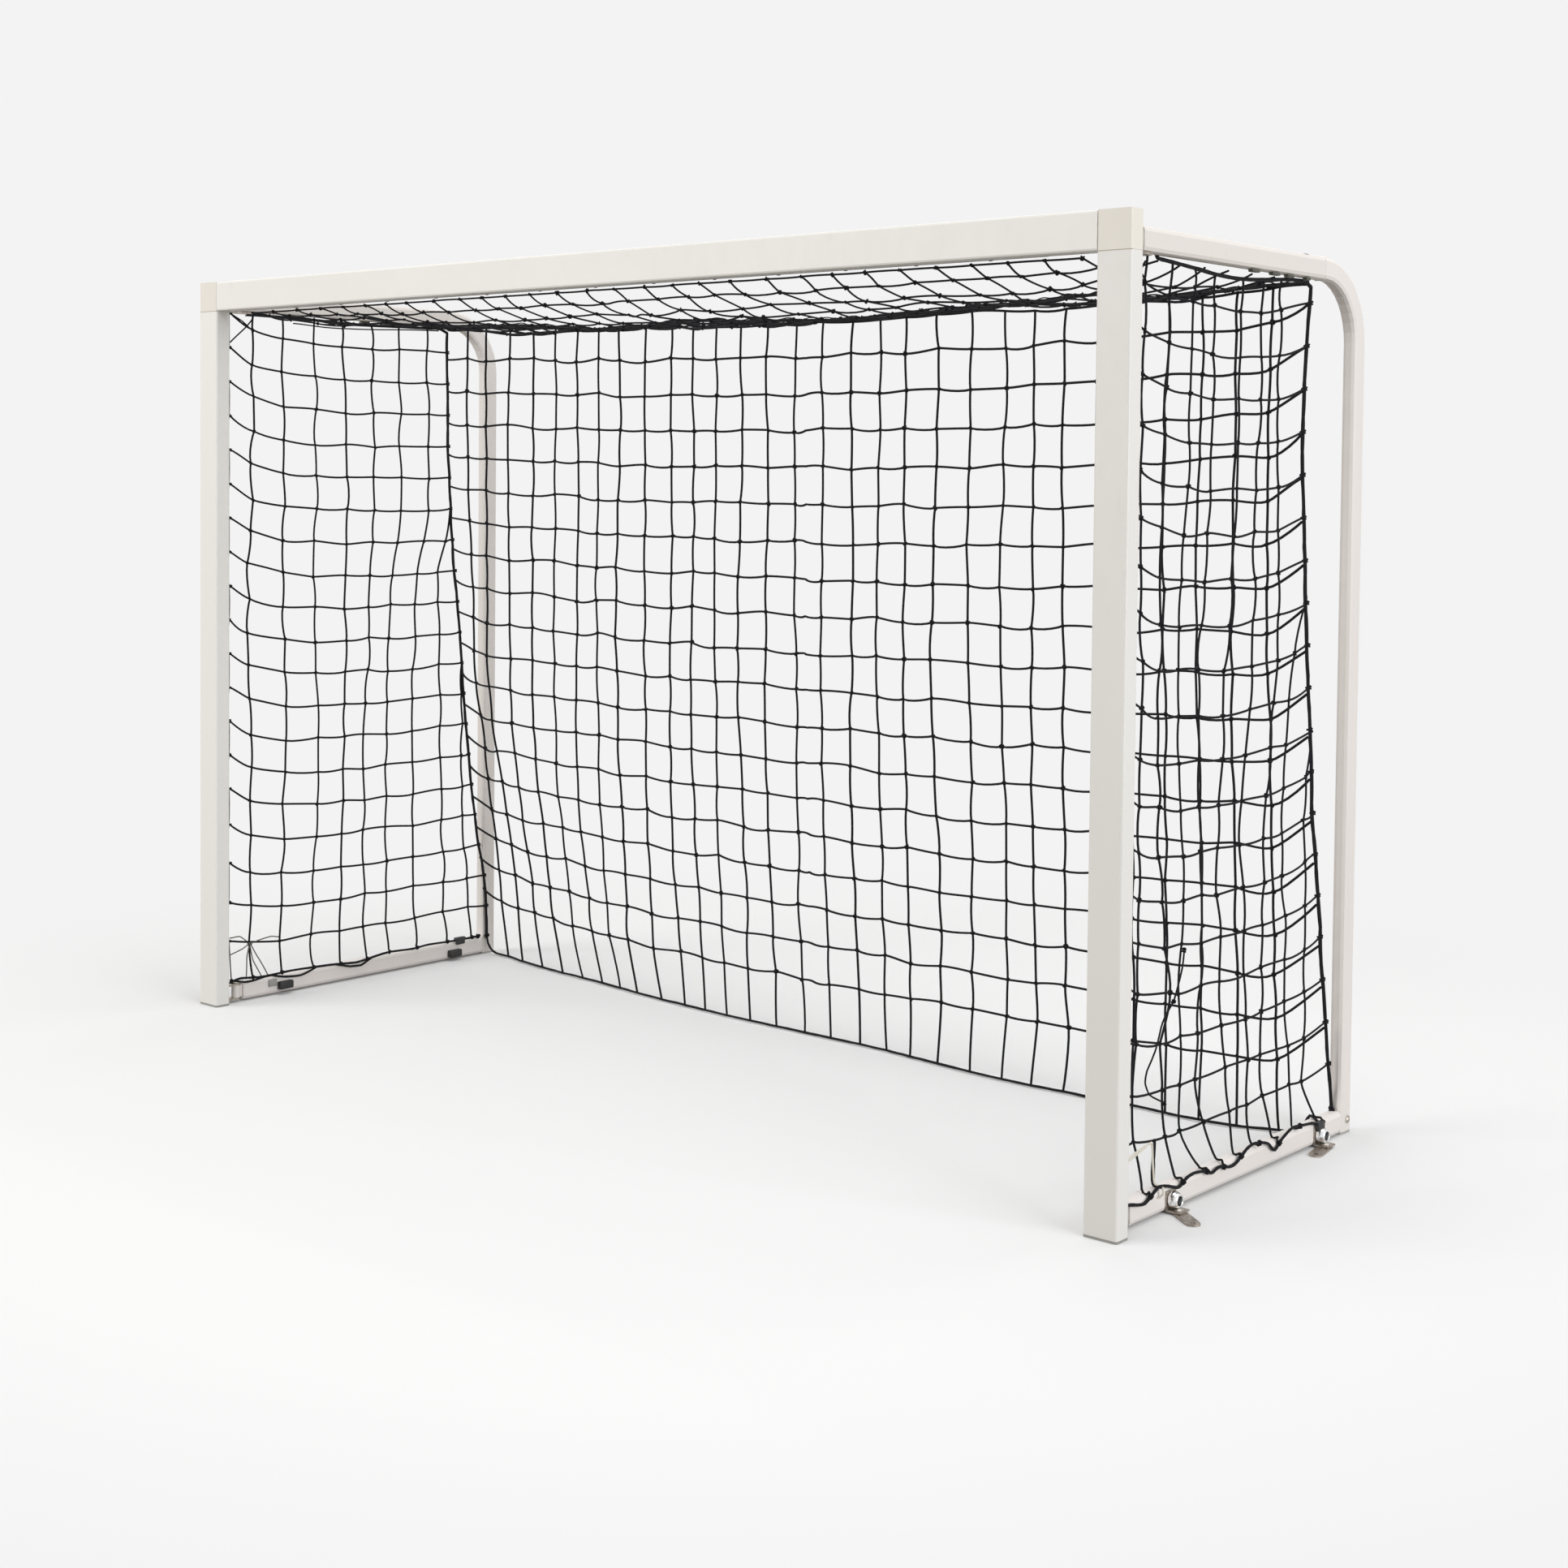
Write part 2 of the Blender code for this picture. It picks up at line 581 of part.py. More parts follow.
def add_side_net(tag, s, pivot):
    x = s * TUBE_C

    def side_shape(u, v):
        z = SIDE_NET_LOW + v * (SIDE_NET_TOP - SIDE_NET_LOW)
        y = NET_FRONT + u * (rear_edge(z) - NET_SPACE - FIT - NET_FRONT)
        return (x, depth(y), z)

    rows = round((SIDE_NET_TOP - SIDE_NET_LOW) / MESH_COARSE)
    columns = round((REAR_BASE - NET_FRONT) / MESH_COARSE)
    lattice("net_side_" + tag, columns, rows, side_shape, TWINE_BLACK, pivot)

    start = PROFILE_D + SHELF_REACH + 2 * CORD_R
    upper_y = rear_edge(CORD_TOP)
    lower_y = rear_edge(CORD_LOW)
    route = [(start, CORD_TOP), ((start + upper_y) / 2, CORD_TOP)]
    route += arc(upper_y - CORD_TURN, CORD_TOP - CORD_TURN, CORD_TURN, 90, 0, 5)
    levels = [SIDE_NET_TOP + (SIDE_NET_LOW - SIDE_NET_TOP) * k / rows for k in range(rows + 1)]
    route += [(rear_edge(z), z) for z in levels]
    route += arc(lower_y - CORD_TURN, CORD_LOW + CORD_TURN, CORD_TURN, 0, -90, 5)
    route += [((start + lower_y) / 2, CORD_LOW), (start, CORD_LOW)]
    cord("side_cord_" + tag, [(x, depth(y), z) for y, z in route], TWINE_BLACK, pivot)


def add_back_and_top_net():
    half = SIDE_CORD_IN - TWINE / 2

    def back_shape(u, v):
        # The lowest row is drawn in, clear of the ground rails
        x = (2 * u - 1) * (half if v > 0 else half - NET_TUCK)
        low = ground_cord_z(x) + NET_SPACE
        z = low + v * (rear_cord_z(x) - NET_SPACE - low)
        return (x, depth(back_depth(x, z)), z)

    top_half = TUBE_C - TUBE_X / 2 - TWINE / 2 - TOP_NET_GAP
    top_end = REAR_BASE - NET_SPACE
    front_z = OPENING_H + TWINE / 2 + FIT

    def top_shape(u, v):
        across = 2 * u - 1
        x = across * top_half
        rear_z = rear_cord_z(x)
        z = front_z + v * (rear_z - front_z) - TOP_NET_SAG * 4 * v * (1 - v) * (1 - across ** 2)
        return (x, depth(NET_FRONT + v * (back_depth(x, rear_z) - NET_SPACE - NET_FRONT)), z)

    columns = round(OPENING_W / MESH_COARSE)
    lattice("net_back", columns, round(OPENING_H / MESH_COARSE), back_shape, TWINE_BLACK)
    lattice("net_top", columns, round((top_end - NET_FRONT) / MESH_COARSE), top_shape, TWINE_BLACK)
    spread = [k / 8 - 1 for k in range(17)]
    high = [(t * SIDE_CORD_IN, rear_cord_z(t * SIDE_CORD_IN)) for t in spread]
    cord("rear_cord", [(x, depth(back_depth(x, z)), z) for x, z in high], TWINE_BLACK)
    end = RAIL_IN - CORD_R * 0.2
    low = [(t * end, ground_cord_z(t * end)) for t in spread]
    cord("ground_cord", [(x, depth(back_depth(x, z)), z) for x, z in low], TWINE_BLACK)


add_crossbar()
add_hooks()
add_back_and_top_net()
for tag, s in SIDES.items():
    add_post(tag, s)
    add_corner(tag, s)
    add_foot_cap(tag, s)
    fold = pivot_at("fold_" + tag, s * TUBE_C, depth(PIN_Y), RAIL_C)
    for level, z in (("upper", ARM_C), ("lower", RAIL_C)):
        add_bracket(tag, s, level, z)
        add_pin(tag, s, level, z)
        add_knuckle(tag, s, level, z, fold)
    add_arm(tag, s, fold)
    add_rear_tube(tag, s, fold)
    add_leg_cap(tag, s, fold)
    add_rail(tag, s, fold)
    for spot in ANCHOR_Y:
        add_anchor(tag, s, spot, fold)
    add_side_net(tag, s, fold)
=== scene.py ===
import math
import random

import bmesh
import bpy
import numpy as np
from mathutils import Matrix, Vector


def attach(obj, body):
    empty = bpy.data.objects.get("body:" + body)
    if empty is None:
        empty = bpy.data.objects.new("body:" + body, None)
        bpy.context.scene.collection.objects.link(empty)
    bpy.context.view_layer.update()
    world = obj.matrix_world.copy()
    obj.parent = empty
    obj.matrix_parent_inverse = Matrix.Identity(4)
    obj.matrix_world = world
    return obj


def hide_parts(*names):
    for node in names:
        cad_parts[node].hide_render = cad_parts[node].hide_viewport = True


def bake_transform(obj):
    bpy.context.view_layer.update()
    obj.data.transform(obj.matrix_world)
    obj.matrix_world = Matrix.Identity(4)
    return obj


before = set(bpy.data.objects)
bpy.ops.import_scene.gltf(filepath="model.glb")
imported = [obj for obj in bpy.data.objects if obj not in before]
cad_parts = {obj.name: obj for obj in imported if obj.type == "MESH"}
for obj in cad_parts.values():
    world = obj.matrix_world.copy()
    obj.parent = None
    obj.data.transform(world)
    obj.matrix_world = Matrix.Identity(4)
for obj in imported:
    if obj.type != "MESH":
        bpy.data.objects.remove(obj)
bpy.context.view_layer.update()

# Places on the goal, in metres: world X along the crossbar, depth counted from the front face, Z up
DEPTH = 0.851
HINGE_X = 1.225
TUBE_HALF_X = 0.014
TUBE_HALF_Z = 0.021
TUBE_IN = HINGE_X - TUBE_HALF_X
TUBE_OUT = HINGE_X + TUBE_HALF_X
ARM_LOW = 1.604
ARM_MID = 1.625
RAIL_TOP = 0.045
NET_X = 1.220
NET_FRONT = 0.050
ROPE_X = 1.216
HEM_Z = 1.590
ROPE_FOOT_Z = 0.0475
REAR_Y = 0.672
POST_X = 1.233
POST_HALF = (0.033, 0.018)
POST_TOP = 1.600
HOOK_Y = 0.0416
HOOK_Z = [0.1825 + 0.160 * k for k in range(9)]
ANCHOR_Y = {"front": 0.204, "rear": 0.717}
ANCHOR_Z = 0.022
SEAM_Y = 0.690
SLOT_Y = 0.628
LEG_BOLT = (0.834, 0.026)
TWINE_R = 0.0020
NET_R = {"back": 0.0026, "top": 0.0019, "l": 0.0024, "r": 0.0021}
BORDER_R = 0.0014
DROP_ROPE_R = 0.0034
RAIL_ROPE_R = 0.0027
SIDES = {"l": -1, "r": 1}
rng = random.Random(7)


def depth(y):
    return y - DEPTH / 2


def wobble(scale):
    return rng.uniform(-scale, scale)


def smooth(t):
    t = min(1.0, max(0.0, t))
    return t * t * (3 - 2 * t)


def table(x, xs, ys):
    return float(np.interp(x, xs, ys))


# Materials
def new_material(name):
    mat = bpy.data.materials.new(name)
    mat.use_nodes = True
    nodes = mat.node_tree.nodes
    return mat, nodes, mat.node_tree.links, nodes["Principled BSDF"]


def place_node(nodes, kind, **values):
    node = nodes.new(kind)
    for key, value in values.items():
        if key in node.inputs:
            node.inputs[key].default_value = value
        else:
            setattr(node, key, value)
    return node


def ramp(nodes, stops):
    node = nodes.new("ShaderNodeValToRGB")
    while len(node.color_ramp.elements) < len(stops):
        node.color_ramp.elements.new(0.5)
    for element, (at, colour) in zip(node.color_ramp.elements, stops):
        element.position = at
        element.color = (*colour, 1)
    return node


def object_noise(nodes, links, scale, detail=3.0, stretch=(1, 1, 1)):
    where = nodes.new("ShaderNodeTexCoord")
    mapping = nodes.new("ShaderNodeMapping")
    mapping.inputs["Scale"].default_value = stretch
    noise = place_node(nodes, "ShaderNodeTexNoise", Scale=scale, Detail=detail)
    links.new(where.outputs["Object"], mapping.inputs["Vector"])
    links.new(mapping.outputs["Vector"], noise.inputs["Vector"])
    return noise


def bump(nodes, links, height, shader, strength, distance):
    node = place_node(nodes, "ShaderNodeBump", Strength=strength, Distance=distance)
    links.new(height, node.inputs["Height"])
    links.new(node.outputs["Normal"], shader.inputs["Normal"])


def painted(name, colour, dull, rough=0.42):
    # Powder coat: faint orange peel, slightly uneven tone and scattered handling marks
    mat, nodes, links, shader = new_material(name)
    tone = object_noise(nodes, links, 3.5, 5.0, (1, 1, 0.35))
    base = ramp(nodes, [(0.30, dull), (0.62, colour)])
    links.new(tone.outputs["Fac"], base.inputs["Fac"])
    marks = object_noise(nodes, links, 38.0, 8.0, (1, 1, 0.5))
    worn = ramp(nodes, [(0.66, (0, 0, 0)), (0.80, (0.35, 0.35, 0.35))])
    links.new(marks.outputs["Fac"], worn.inputs["Fac"])
    mix = nodes.new("ShaderNodeMix")
    mix.data_type = "RGBA"
    links.new(worn.outputs["Color"], mix.inputs["Factor"])
    links.new(base.outputs["Color"], mix.inputs["A"])
    mix.inputs["B"].default_value = (*[c * 0.86 for c in dull], 1)
    links.new(mix.outputs["Result"], shader.inputs["Base Color"])
    gloss = place_node(nodes, "ShaderNodeMapRange")
    gloss.inputs["To Min"].default_value = rough - 0.05
    gloss.inputs["To Max"].default_value = rough + 0.09
    links.new(marks.outputs["Fac"], gloss.inputs["Value"])
    links.new(gloss.outputs["Result"], shader.inputs["Roughness"])
    peel = object_noise(nodes, links, 900.0, 2.0)
    bump(nodes, links, peel.outputs["Fac"], shader, 0.10, 0.0004)
    shader.inputs["Specular IOR Level"].default_value = 0.42
    return mat


def metal(name, colour, dark, rough, scale=160.0, strength=0.18):
    mat, nodes, links, shader = new_material(name)
    grain = object_noise(nodes, links, scale, 6.0)
    base = ramp(nodes, [(0.35, dark), (0.65, colour)])
    links.new(grain.outputs["Fac"], base.inputs["Fac"])
    links.new(base.outputs["Color"], shader.inputs["Base Color"])
    shader.inputs["Metallic"].default_value = 1.0
    gloss = place_node(nodes, "ShaderNodeMapRange")
    gloss.inputs["To Min"].default_value = max(0.03, rough - 0.08)
    gloss.inputs["To Max"].default_value = rough + 0.12
    links.new(grain.outputs["Fac"], gloss.inputs["Value"])
    links.new(gloss.outputs["Result"], shader.inputs["Roughness"])
    bump(nodes, links, grain.outputs["Fac"], shader, strength, 0.0003)
    return mat


def plastic(name, colour):
    mat, nodes, links, shader = new_material(name)
    grain = object_noise(nodes, links, 700.0, 4.0)
    base = ramp(nodes, [(0.3, [c * 0.75 for c in colour]), (0.7, colour)])
    links.new(grain.outputs["Fac"], base.inputs["Fac"])
    links.new(base.outputs["Color"], shader.inputs["Base Color"])
    shader.inputs["Roughness"].default_value = 0.5
    bump(nodes, links, grain.outputs["Fac"], shader, 0.25, 0.0003)
    return mat


def twisted(name, colour, light, pitch, strands, rough=0.78, depth_m=0.0006):
    # Laid twine: UV u runs round the thread and v along it in metres, so slanted bands follow the lay
    mat, nodes, links, shader = new_material(name)
    uv = nodes.new("ShaderNodeUVMap")
    split = nodes.new("ShaderNodeSeparateXYZ")
    links.new(uv.outputs["UV"], split.inputs["Vector"])
    turns = place_node(nodes, "ShaderNodeMath", operation="MULTIPLY")
    turns.inputs[1].default_value = 1 / pitch
    links.new(split.outputs["Y"], turns.inputs[0])
    lay = place_node(nodes, "ShaderNodeMath", operation="ADD")
    links.new(split.outputs["X"], lay.inputs[0])
    links.new(turns.outputs[0], lay.inputs[1])
    angle = place_node(nodes, "ShaderNodeMath", operation="MULTIPLY")
    angle.inputs[1].default_value = strands * 2 * math.pi
    links.new(lay.outputs[0], angle.inputs[0])
    wave = place_node(nodes, "ShaderNodeMath", operation="SINE")
    links.new(angle.outputs[0], wave.inputs[0])
    fuzz = object_noise(nodes, links, 1600.0, 5.0)
    soft = place_node(nodes, "ShaderNodeMath", operation="MULTIPLY_ADD")
    soft.inputs[1].default_value = 0.4
    links.new(wave.outputs[0], soft.inputs[0])
    links.new(fuzz.outputs["Fac"], soft.inputs[2])
    base = ramp(nodes, [(0.15, colour), (0.95, light)])
    links.new(soft.outputs[0], base.inputs["Fac"])
    links.new(base.outputs["Color"], shader.inputs["Base Color"])
    shader.inputs["Roughness"].default_value = rough
    shader.inputs["Specular IOR Level"].default_value = 0.2
    bump(nodes, links, soft.outputs[0], shader, 0.6, depth_m)
    return mat


PAINT = painted("powder_coat_white", (0.852, 0.850, 0.822), (0.832, 0.828, 0.797))
TUBE = painted("powder_coat_tube", (0.765, 0.735, 0.700), (0.742, 0.708, 0.675), 0.46)
# The rear leg is bent from the same tube as the arm, and its lighter copy of the tube paint is painted light
LIT_LEG_PAINT = painted("powder_coat_leg_painted_light", (0.805, 0.773, 0.745), (0.778, 0.745, 0.716), 0.46)
RAIL = painted("powder_coat_rail", (0.825, 0.790, 0.765), (0.795, 0.760, 0.735), 0.46)
# The right post gets a darker copy of the white powder coat: painted shade for its front, which falls in half
# shade
RIGHT_POST_SHADE_PAINT = painted("powder_coat_right_post_painted_shade", (0.802, 0.794, 0.768), (0.782, 0.772, 0.744))
CAST = painted("cast_corner_white", (0.800, 0.776, 0.708), (0.775, 0.748, 0.678), 0.46)
ZINC = metal("zinc_plated_steel", (0.50, 0.45, 0.40), (0.27, 0.235, 0.20), 0.40)
BRIGHT = metal("bright_zinc", (0.72, 0.70, 0.66), (0.50, 0.47, 0.43), 0.30)
CHROME = metal("polished_chrome", (0.92, 0.92, 0.92), (0.82, 0.82, 0.83), 0.10, 60.0, 0.05)
BLACK = plastic("black_moulded_plastic", (0.014, 0.014, 0.015))
# Dark plastic of the arm clips, also used as painted shade in the arm's slot
CLIP_PLASTIC_AND_SLOT_SHADE = plastic("dark_clip_plastic_and_slot_shade", (0.075, 0.075, 0.055))
GREY = plastic("grey_moulded_plastic", (0.36, 0.36, 0.34))
PALE = plastic("pale_moulded_plastic", (0.50, 0.49, 0.46))
TWINE = twisted("net_twine_black", (0.002, 0.002, 0.003), (0.008, 0.008, 0.011), 0.012, 3)
ROPE = twisted("edge_rope_black", (0.002, 0.002, 0.003), (0.007, 0.007, 0.010), 0.020, 4, 0.7, 0.0012)
CREAM = twisted("tie_cord_cream", (0.62, 0.58, 0.50), (0.80, 0.77, 0.70), 0.012, 3)
FADED = twisted("tie_cord_grey", (0.10, 0.10, 0.09), (0.24, 0.23, 0.20), 0.010, 3)
WELD = painted("painted_seam", (0.86, 0.84, 0.80), (0.80, 0.78, 0.73), 0.40)
# Painted shade for the narrow gap where each corner meets its post
GAP_SHADE_STRIP = plastic("painted_gap_shade", (0.47, 0.43, 0.35))

LOOKS = {
    "crossbar": PAINT, "post": PAINT, "post_r": RIGHT_POST_SHADE_PAINT, "corner": CAST, "foot_cap": GREY, "hinge_bracket": ZINC,
    "hinge_pin": ZINC, "hinge_knuckle": RAIL, "arm_splice": CAST, "arm": TUBE, "rear_tube": LIT_LEG_PAINT,
    "leg_bolt": ZINC, "leg_cap": PALE, "ground_rail": RAIL, "anchor_bracket": ZINC,
    "anchor_cup": CHROME, "anchor_foot": ZINC, "clamp_screw": BLACK, "crossbar_hooks": BLACK,
    "post_hooks": BLACK,
}
for node_name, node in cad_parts.items():
    keys = [key for key in LOOKS if node_name.startswith(key)]
    look = LOOKS[max(keys, key=len)] if keys else TWINE
    node.data.materials.clear()
    node.data.materials.append(look)


# Geometry helpers
def sweep(paths, radius, sides=6, turn_pitch=None, lobes=0, lobe_depth=0.0):
    """Tubes along the paths, with UVs: u round the tube, v along it in metres."""
    verts, faces, uvs = [], [], []
    ring = np.arange(sides) * 2 * np.pi / sides
    for path in paths:
        p = np.asarray(path, float)
        step = np.diff(p, axis=0)
        length = np.linalg.norm(step, axis=1)
        run = np.concatenate([[0], np.cumsum(length)])
        unit = step / np.maximum(length, 1e-9)[:, None]
        tangent = np.vstack([unit[:1], unit[:-1] + unit[1:], unit[-1:]])
        tangent /= np.maximum(np.linalg.norm(tangent, axis=1), 1e-9)[:, None]
        side = np.cross(tangent[0], (0.31, 0.17, 0.94))
        if np.linalg.norm(side) < 0.2:
            side = np.cross(tangent[0], (1.0, 0.2, 0.1))
        base = len(verts)
        for k, t in enumerate(tangent):
            side = side - t * np.dot(side, t)
            side /= np.linalg.norm(side)
            up = np.cross(t, side)
            twist = 0 if turn_pitch is None else 2 * np.pi * run[k] / turn_pitch
            size = radius * (1 + lobe_depth * np.cos(lobes * (ring - twist)))
            along_side = p[k] + np.outer(size * np.cos(ring), side)
            verts.extend((along_side + np.outer(size * np.sin(ring), up)).tolist())
        for k in range(len(p) - 1):
            for j in range(sides):
                a = base + k * sides + j
                b = base + k * sides + (j + 1) % sides
                faces.append((a, b, b + sides, a + sides))
                u0, u1 = j / sides, (j + 1) / sides
                uvs.extend(((u0, run[k]), (u1, run[k]), (u1, run[k + 1]), (u0, run[k + 1])))
        last = base + (len(p) - 1) * sides
        faces.append(tuple(range(base + sides - 1, base - 1, -1)))
        faces.append(tuple(range(last, last + sides)))
        uvs.extend([(0.5, 0.0)] * sides + [(0.5, float(run[-1]))] * sides)
    return verts, faces, uvs


def merge(*meshes):
    verts, faces, uvs = [], [], []
    for v, f, u in meshes:
        base = len(verts)
        verts.extend(v)
        faces.extend(tuple(i + base for i in face) for face in f)
        uvs.extend(u)
    return verts, faces, uvs


def piece(name, mesh, look, body=None):
    verts, faces, uvs = mesh
    data = bpy.data.meshes.new(name)
    data.from_pydata(verts, [], faces)
    layer = data.uv_layers.new(name="UVMap")
    layer.data.foreach_set("uv", np.asarray(uvs, np.float32).ravel())
    data.materials.append(look)
    data.shade_smooth()
    data.set_sharp_from_angle(angle=math.radians(50))
    obj = bpy.data.objects.new(name, data)
    bpy.context.scene.collection.objects.link(obj)
    if body is not None:
        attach(obj, body)
    return obj


def bm_piece(name, bm, look, body):
    bmesh.ops.recalc_face_normals(bm, faces=bm.faces)
    data = bpy.data.meshes.new(name)
    bm.to_mesh(data)
    bm.free()
    data.materials.append(look)
    data.shade_smooth()
    data.set_sharp_from_angle(angle=math.radians(35))
    obj = bpy.data.objects.new(name, data)
    bpy.context.scene.collection.objects.link(obj)
    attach(obj, body)
    return obj


def curve_through(points, per=5, slack=0.0, jitter=0.0):
    """A rounded line through the points, each stretch hanging by slack and straying by jitter."""
    p = [Vector(q) for q in points]
    first = p[0] + (p[0] - p[1])
    last = p[-1] + (p[-1] - p[-2])
    ctrl = [first, *p, last]
    out = []
    for k in range(1, len(ctrl) - 2):
        a, b, c, d = ctrl[k - 1], ctrl[k], ctrl[k + 1], ctrl[k + 2]
        span = (c - b).length
        stray = Vector((wobble(jitter), wobble(jitter), wobble(jitter)))
        for i in range(per):
            t = i / per
            m1 = (c - a) * 0.35
            m2 = (d - b) * 0.35
            h = 2 * t ** 3 - 3 * t ** 2 + 1
            q = b * h + m1 * (t ** 3 - 2 * t ** 2 + t) + c * (1 - h) + m2 * (t ** 3 - t ** 2)
            lift = 4 * t * (1 - t)
            q = q + stray * lift - Vector((0, 0, slack * span * lift))
            out.append(q)
    out.append(p[-1])
    return [tuple(q) for q in out]


def knot_shape():
    """A small overhand lump, as a closed tube in a unit sphere."""
    turns = 20
    path = []
    for k in range(turns + 1):
        a = 2 * math.pi * k / turns
        path.append(((math.sin(a) + 2 * math.sin(2 * a)) / 3.0,
                     (math.cos(a) - 2 * math.cos(2 * a)) / 3.0,
                     -math.sin(3 * a) * 0.55))
    verts, faces, uvs = sweep([path], 0.42, 5)
    return np.asarray(verts), faces, [(u, v * 0.006) for u, v in uvs]


KNOT_VERTS, KNOT_FACES, KNOT_UVS = knot_shape()


def knots(places, size=0.0036):
    verts, faces, uvs = [], [], []
    for place in places:
        turn = Matrix.Rotation(rng.uniform(0, 6.28), 3, Vector((wobble(1), wobble(1), wobble(1) + 0.01)))
        grow = size * rng.uniform(0.85, 1.15)
        base = len(verts)
        moved = KNOT_VERTS @ np.asarray(turn).T * grow + np.asarray(place)
        verts.extend(moved.tolist())
        faces.extend(tuple(i + base for i in face) for face in KNOT_FACES)
        uvs.extend(KNOT_UVS)
    return verts, faces, uvs


# Net shapes, fitted to the photo
REAR_ROPE = [(-1.216, 1.600), (-1.047, 1.600), (-0.90, 1.597), (-0.756, 1.586), (-0.631, 1.575),
             (-0.484, 1.582), (-0.329, 1.588), (-0.175, 1.580), (0.0, 1.575), (0.146, 1.573),
             (0.311, 1.579), (0.42, 1.584), (0.54, 1.588), (0.65, 1.593), (0.747, 1.599),
             (0.859, 1.590), (0.924, 1.581), (1.00, 1.588), (1.10, 1.597), (1.216, 1.600)]
HEM = [(-1.216, 1.597), (-0.90, 1.594), (-0.631, 1.572), (-0.484, 1.578), (-0.329, 1.583),
       (-0.175, 1.575), (0.146, 1.567), (0.311, 1.573), (0.440, 1.577), (0.54, 1.574), (0.64, 1.571),
       (0.747, 1.576), (0.859, 1.581), (0.924, 1.576), (1.10, 1.590), (1.216, 1.595)]
TOP_ROW_Y = [0.046, 0.088, 0.158, 0.232, 0.308, 0.386, 0.466, 0.546, 0.618, 0.664]
TOP_FRONT = TOP_ROW_Y[0]
BAR_HOOK_Z = 1.5955
TOP_DROP = [(0.0, 0.0), (0.079, 0.023), (0.19, 0.037), (0.30, 0.044), (0.41, 0.046), (0.54, 0.040),
            (0.65, 0.032), (0.775, 0.020), (0.886, 0.010), (1.0, 0.0)]


def rope_depth(s, z):
    """Depth of a side net's rear rope: it hangs from the arm and is drawn back to the foot of the leg."""
    if s < 0:
        return table(z, (0.03, 0.16, 0.28, 0.42, 0.57, 0.71, 0.86, 0.98, 1.12, 1.28, 1.50, 1.60),
                     (0.818, 0.815, 0.800, 0.779, 0.760, 0.746, 0.733, 0.720, 0.705, 0.696, 0.692, 0.690))
    return table(z, (0.03, 0.165, 0.30, 0.45, 0.60, 0.76, 0.90, 1.05, 1.21, 1.36, 1.49, 1.60),
                 (0.806, 0.787, 0.762, 0.739, 0.714, 0.696, 0.683, 0.670, 0.652, 0.648, 0.658, 0.672))


def rope_x(s, z):
    """Distance of that rope from the middle plane: the left one ends on the leg's inner side."""
    inward = 0.0145 * smooth((0.31 - z) / 0.13) if s < 0 else 0
    return NET_X - inward


def along(points, at):
    return table(at, [p[0] for p in points], [p[1] for p in points])


def hang_depth(z):
    """Depth of the back net's middle, which falls from the rear rope and is drawn back near the floor."""
    return REAR_Y + 0.050 * max(0.0, 1 - z / 0.92) ** 1.2


# Depth of the ground rope on the floor, by x
GROUND_ROPE = [(-1.206, 0.816), (-1.164, 0.824), (-1.134, 0.825), (-1.066, 0.806), (-0.993, 0.794),
               (-0.856, 0.778), (-0.765, 0.772), (-0.565, 0.746), (-0.392, 0.731), (-0.232, 0.723),
               (0.0, 0.722), (0.198, 0.721), (0.344, 0.706), (0.479, 0.695), (0.603, 0.694),
               (0.833, 0.708), (0.918, 0.705), (0.996, 0.706), (1.057, 0.716), (1.146, 0.750),
               (1.190, 0.748), (1.207, 0.745)]
# How the ground rope leaves the floor: to the foot of the drop rope at the left, over the rail at the right
GROUND_ROPE_END = {
    "l": [(-1.172, 0.823, 0.0050), (-1.190, 0.820, 0.0140), (-1.201, 0.8185, 0.0300),
          (-1.2052, 0.8175, 0.0480), (-1.2055, 0.8175, 0.0580)],
    "r": [(1.165, 0.750, 0.0060), (1.188, 0.748, 0.0180), (1.203, 0.743, 0.0380), (1.213, 0.737, 0.0478),
          (1.229, 0.726, 0.0482), (1.2405, 0.718, 0.0440)],
}


def back_depth(x, z):
    """Depth of the back net, whose edges follow the side ropes and whose foot follows the ground rope."""
    base = hang_depth(z)
    left = math.exp(-((x + ROPE_X) / (0.10 + 0.38 * smooth(1 - z / 0.8))) ** 1.7) if x > -ROPE_X else 1.0
    right = math.exp(-(ROPE_X - x) / 0.07) if x < ROPE_X else 1.0
    y = base + left * (rope_depth(-1, z) - base) + right * (rope_depth(1, z) - base)
    near = smooth(1 - z / 0.10)
    return y * (1 - near) + along(GROUND_ROPE, x) * near


def hem_depth(x):
    return back_depth(x, HEM_Z)


COLUMN_X = [-1.127, -1.051, -0.962, -0.878, -0.799, -0.722, -0.651, -0.584, -0.494, -0.411, -0.342, -0.270,
            -0.196, -0.116, -0.031, 0.045, 0.129, 0.204, 0.274, 0.354, 0.445, 0.529, 0.603, 0.679,
            0.758, 0.838, 0.915, 0.990, 1.066, 1.141]
COLUMNS = [-1.2155, *COLUMN_X, 1.2155]
MIDDLE = next(k for k, x in enumerate(COLUMNS) if x > 0)
ROWS = 20
ROW_TOP = 1.498
ROW_STEP = 0.0806


def back_knot(x, row, shift_x, shift_z):
    """A knot of the back net: row 0 is the hem under the rear rope and row ROWS - 1 the ground rope."""
    if row == 0:
        return Vector((x, depth(hem_depth(x)), along(HEM, x)))
    if row == ROWS - 1:
        return Vector((x, depth(along(GROUND_ROPE, x)), 0.0045))
    z = ROW_TOP - ROW_STEP * (row - 1)
    sag = 0.030 - 0.014 * row / ROWS
    z += sag * abs(x / 1.2) ** 2.2 + shift_z
    pull = math.exp(-((x + ROPE_X) / 0.5) ** 1.7) * smooth(1 - z / 1.0) if x > -ROPE_X else 0
    return Vector((x - 0.1125 * pull * abs(x + ROPE_X) + shift_x, depth(back_depth(x, z)), z))


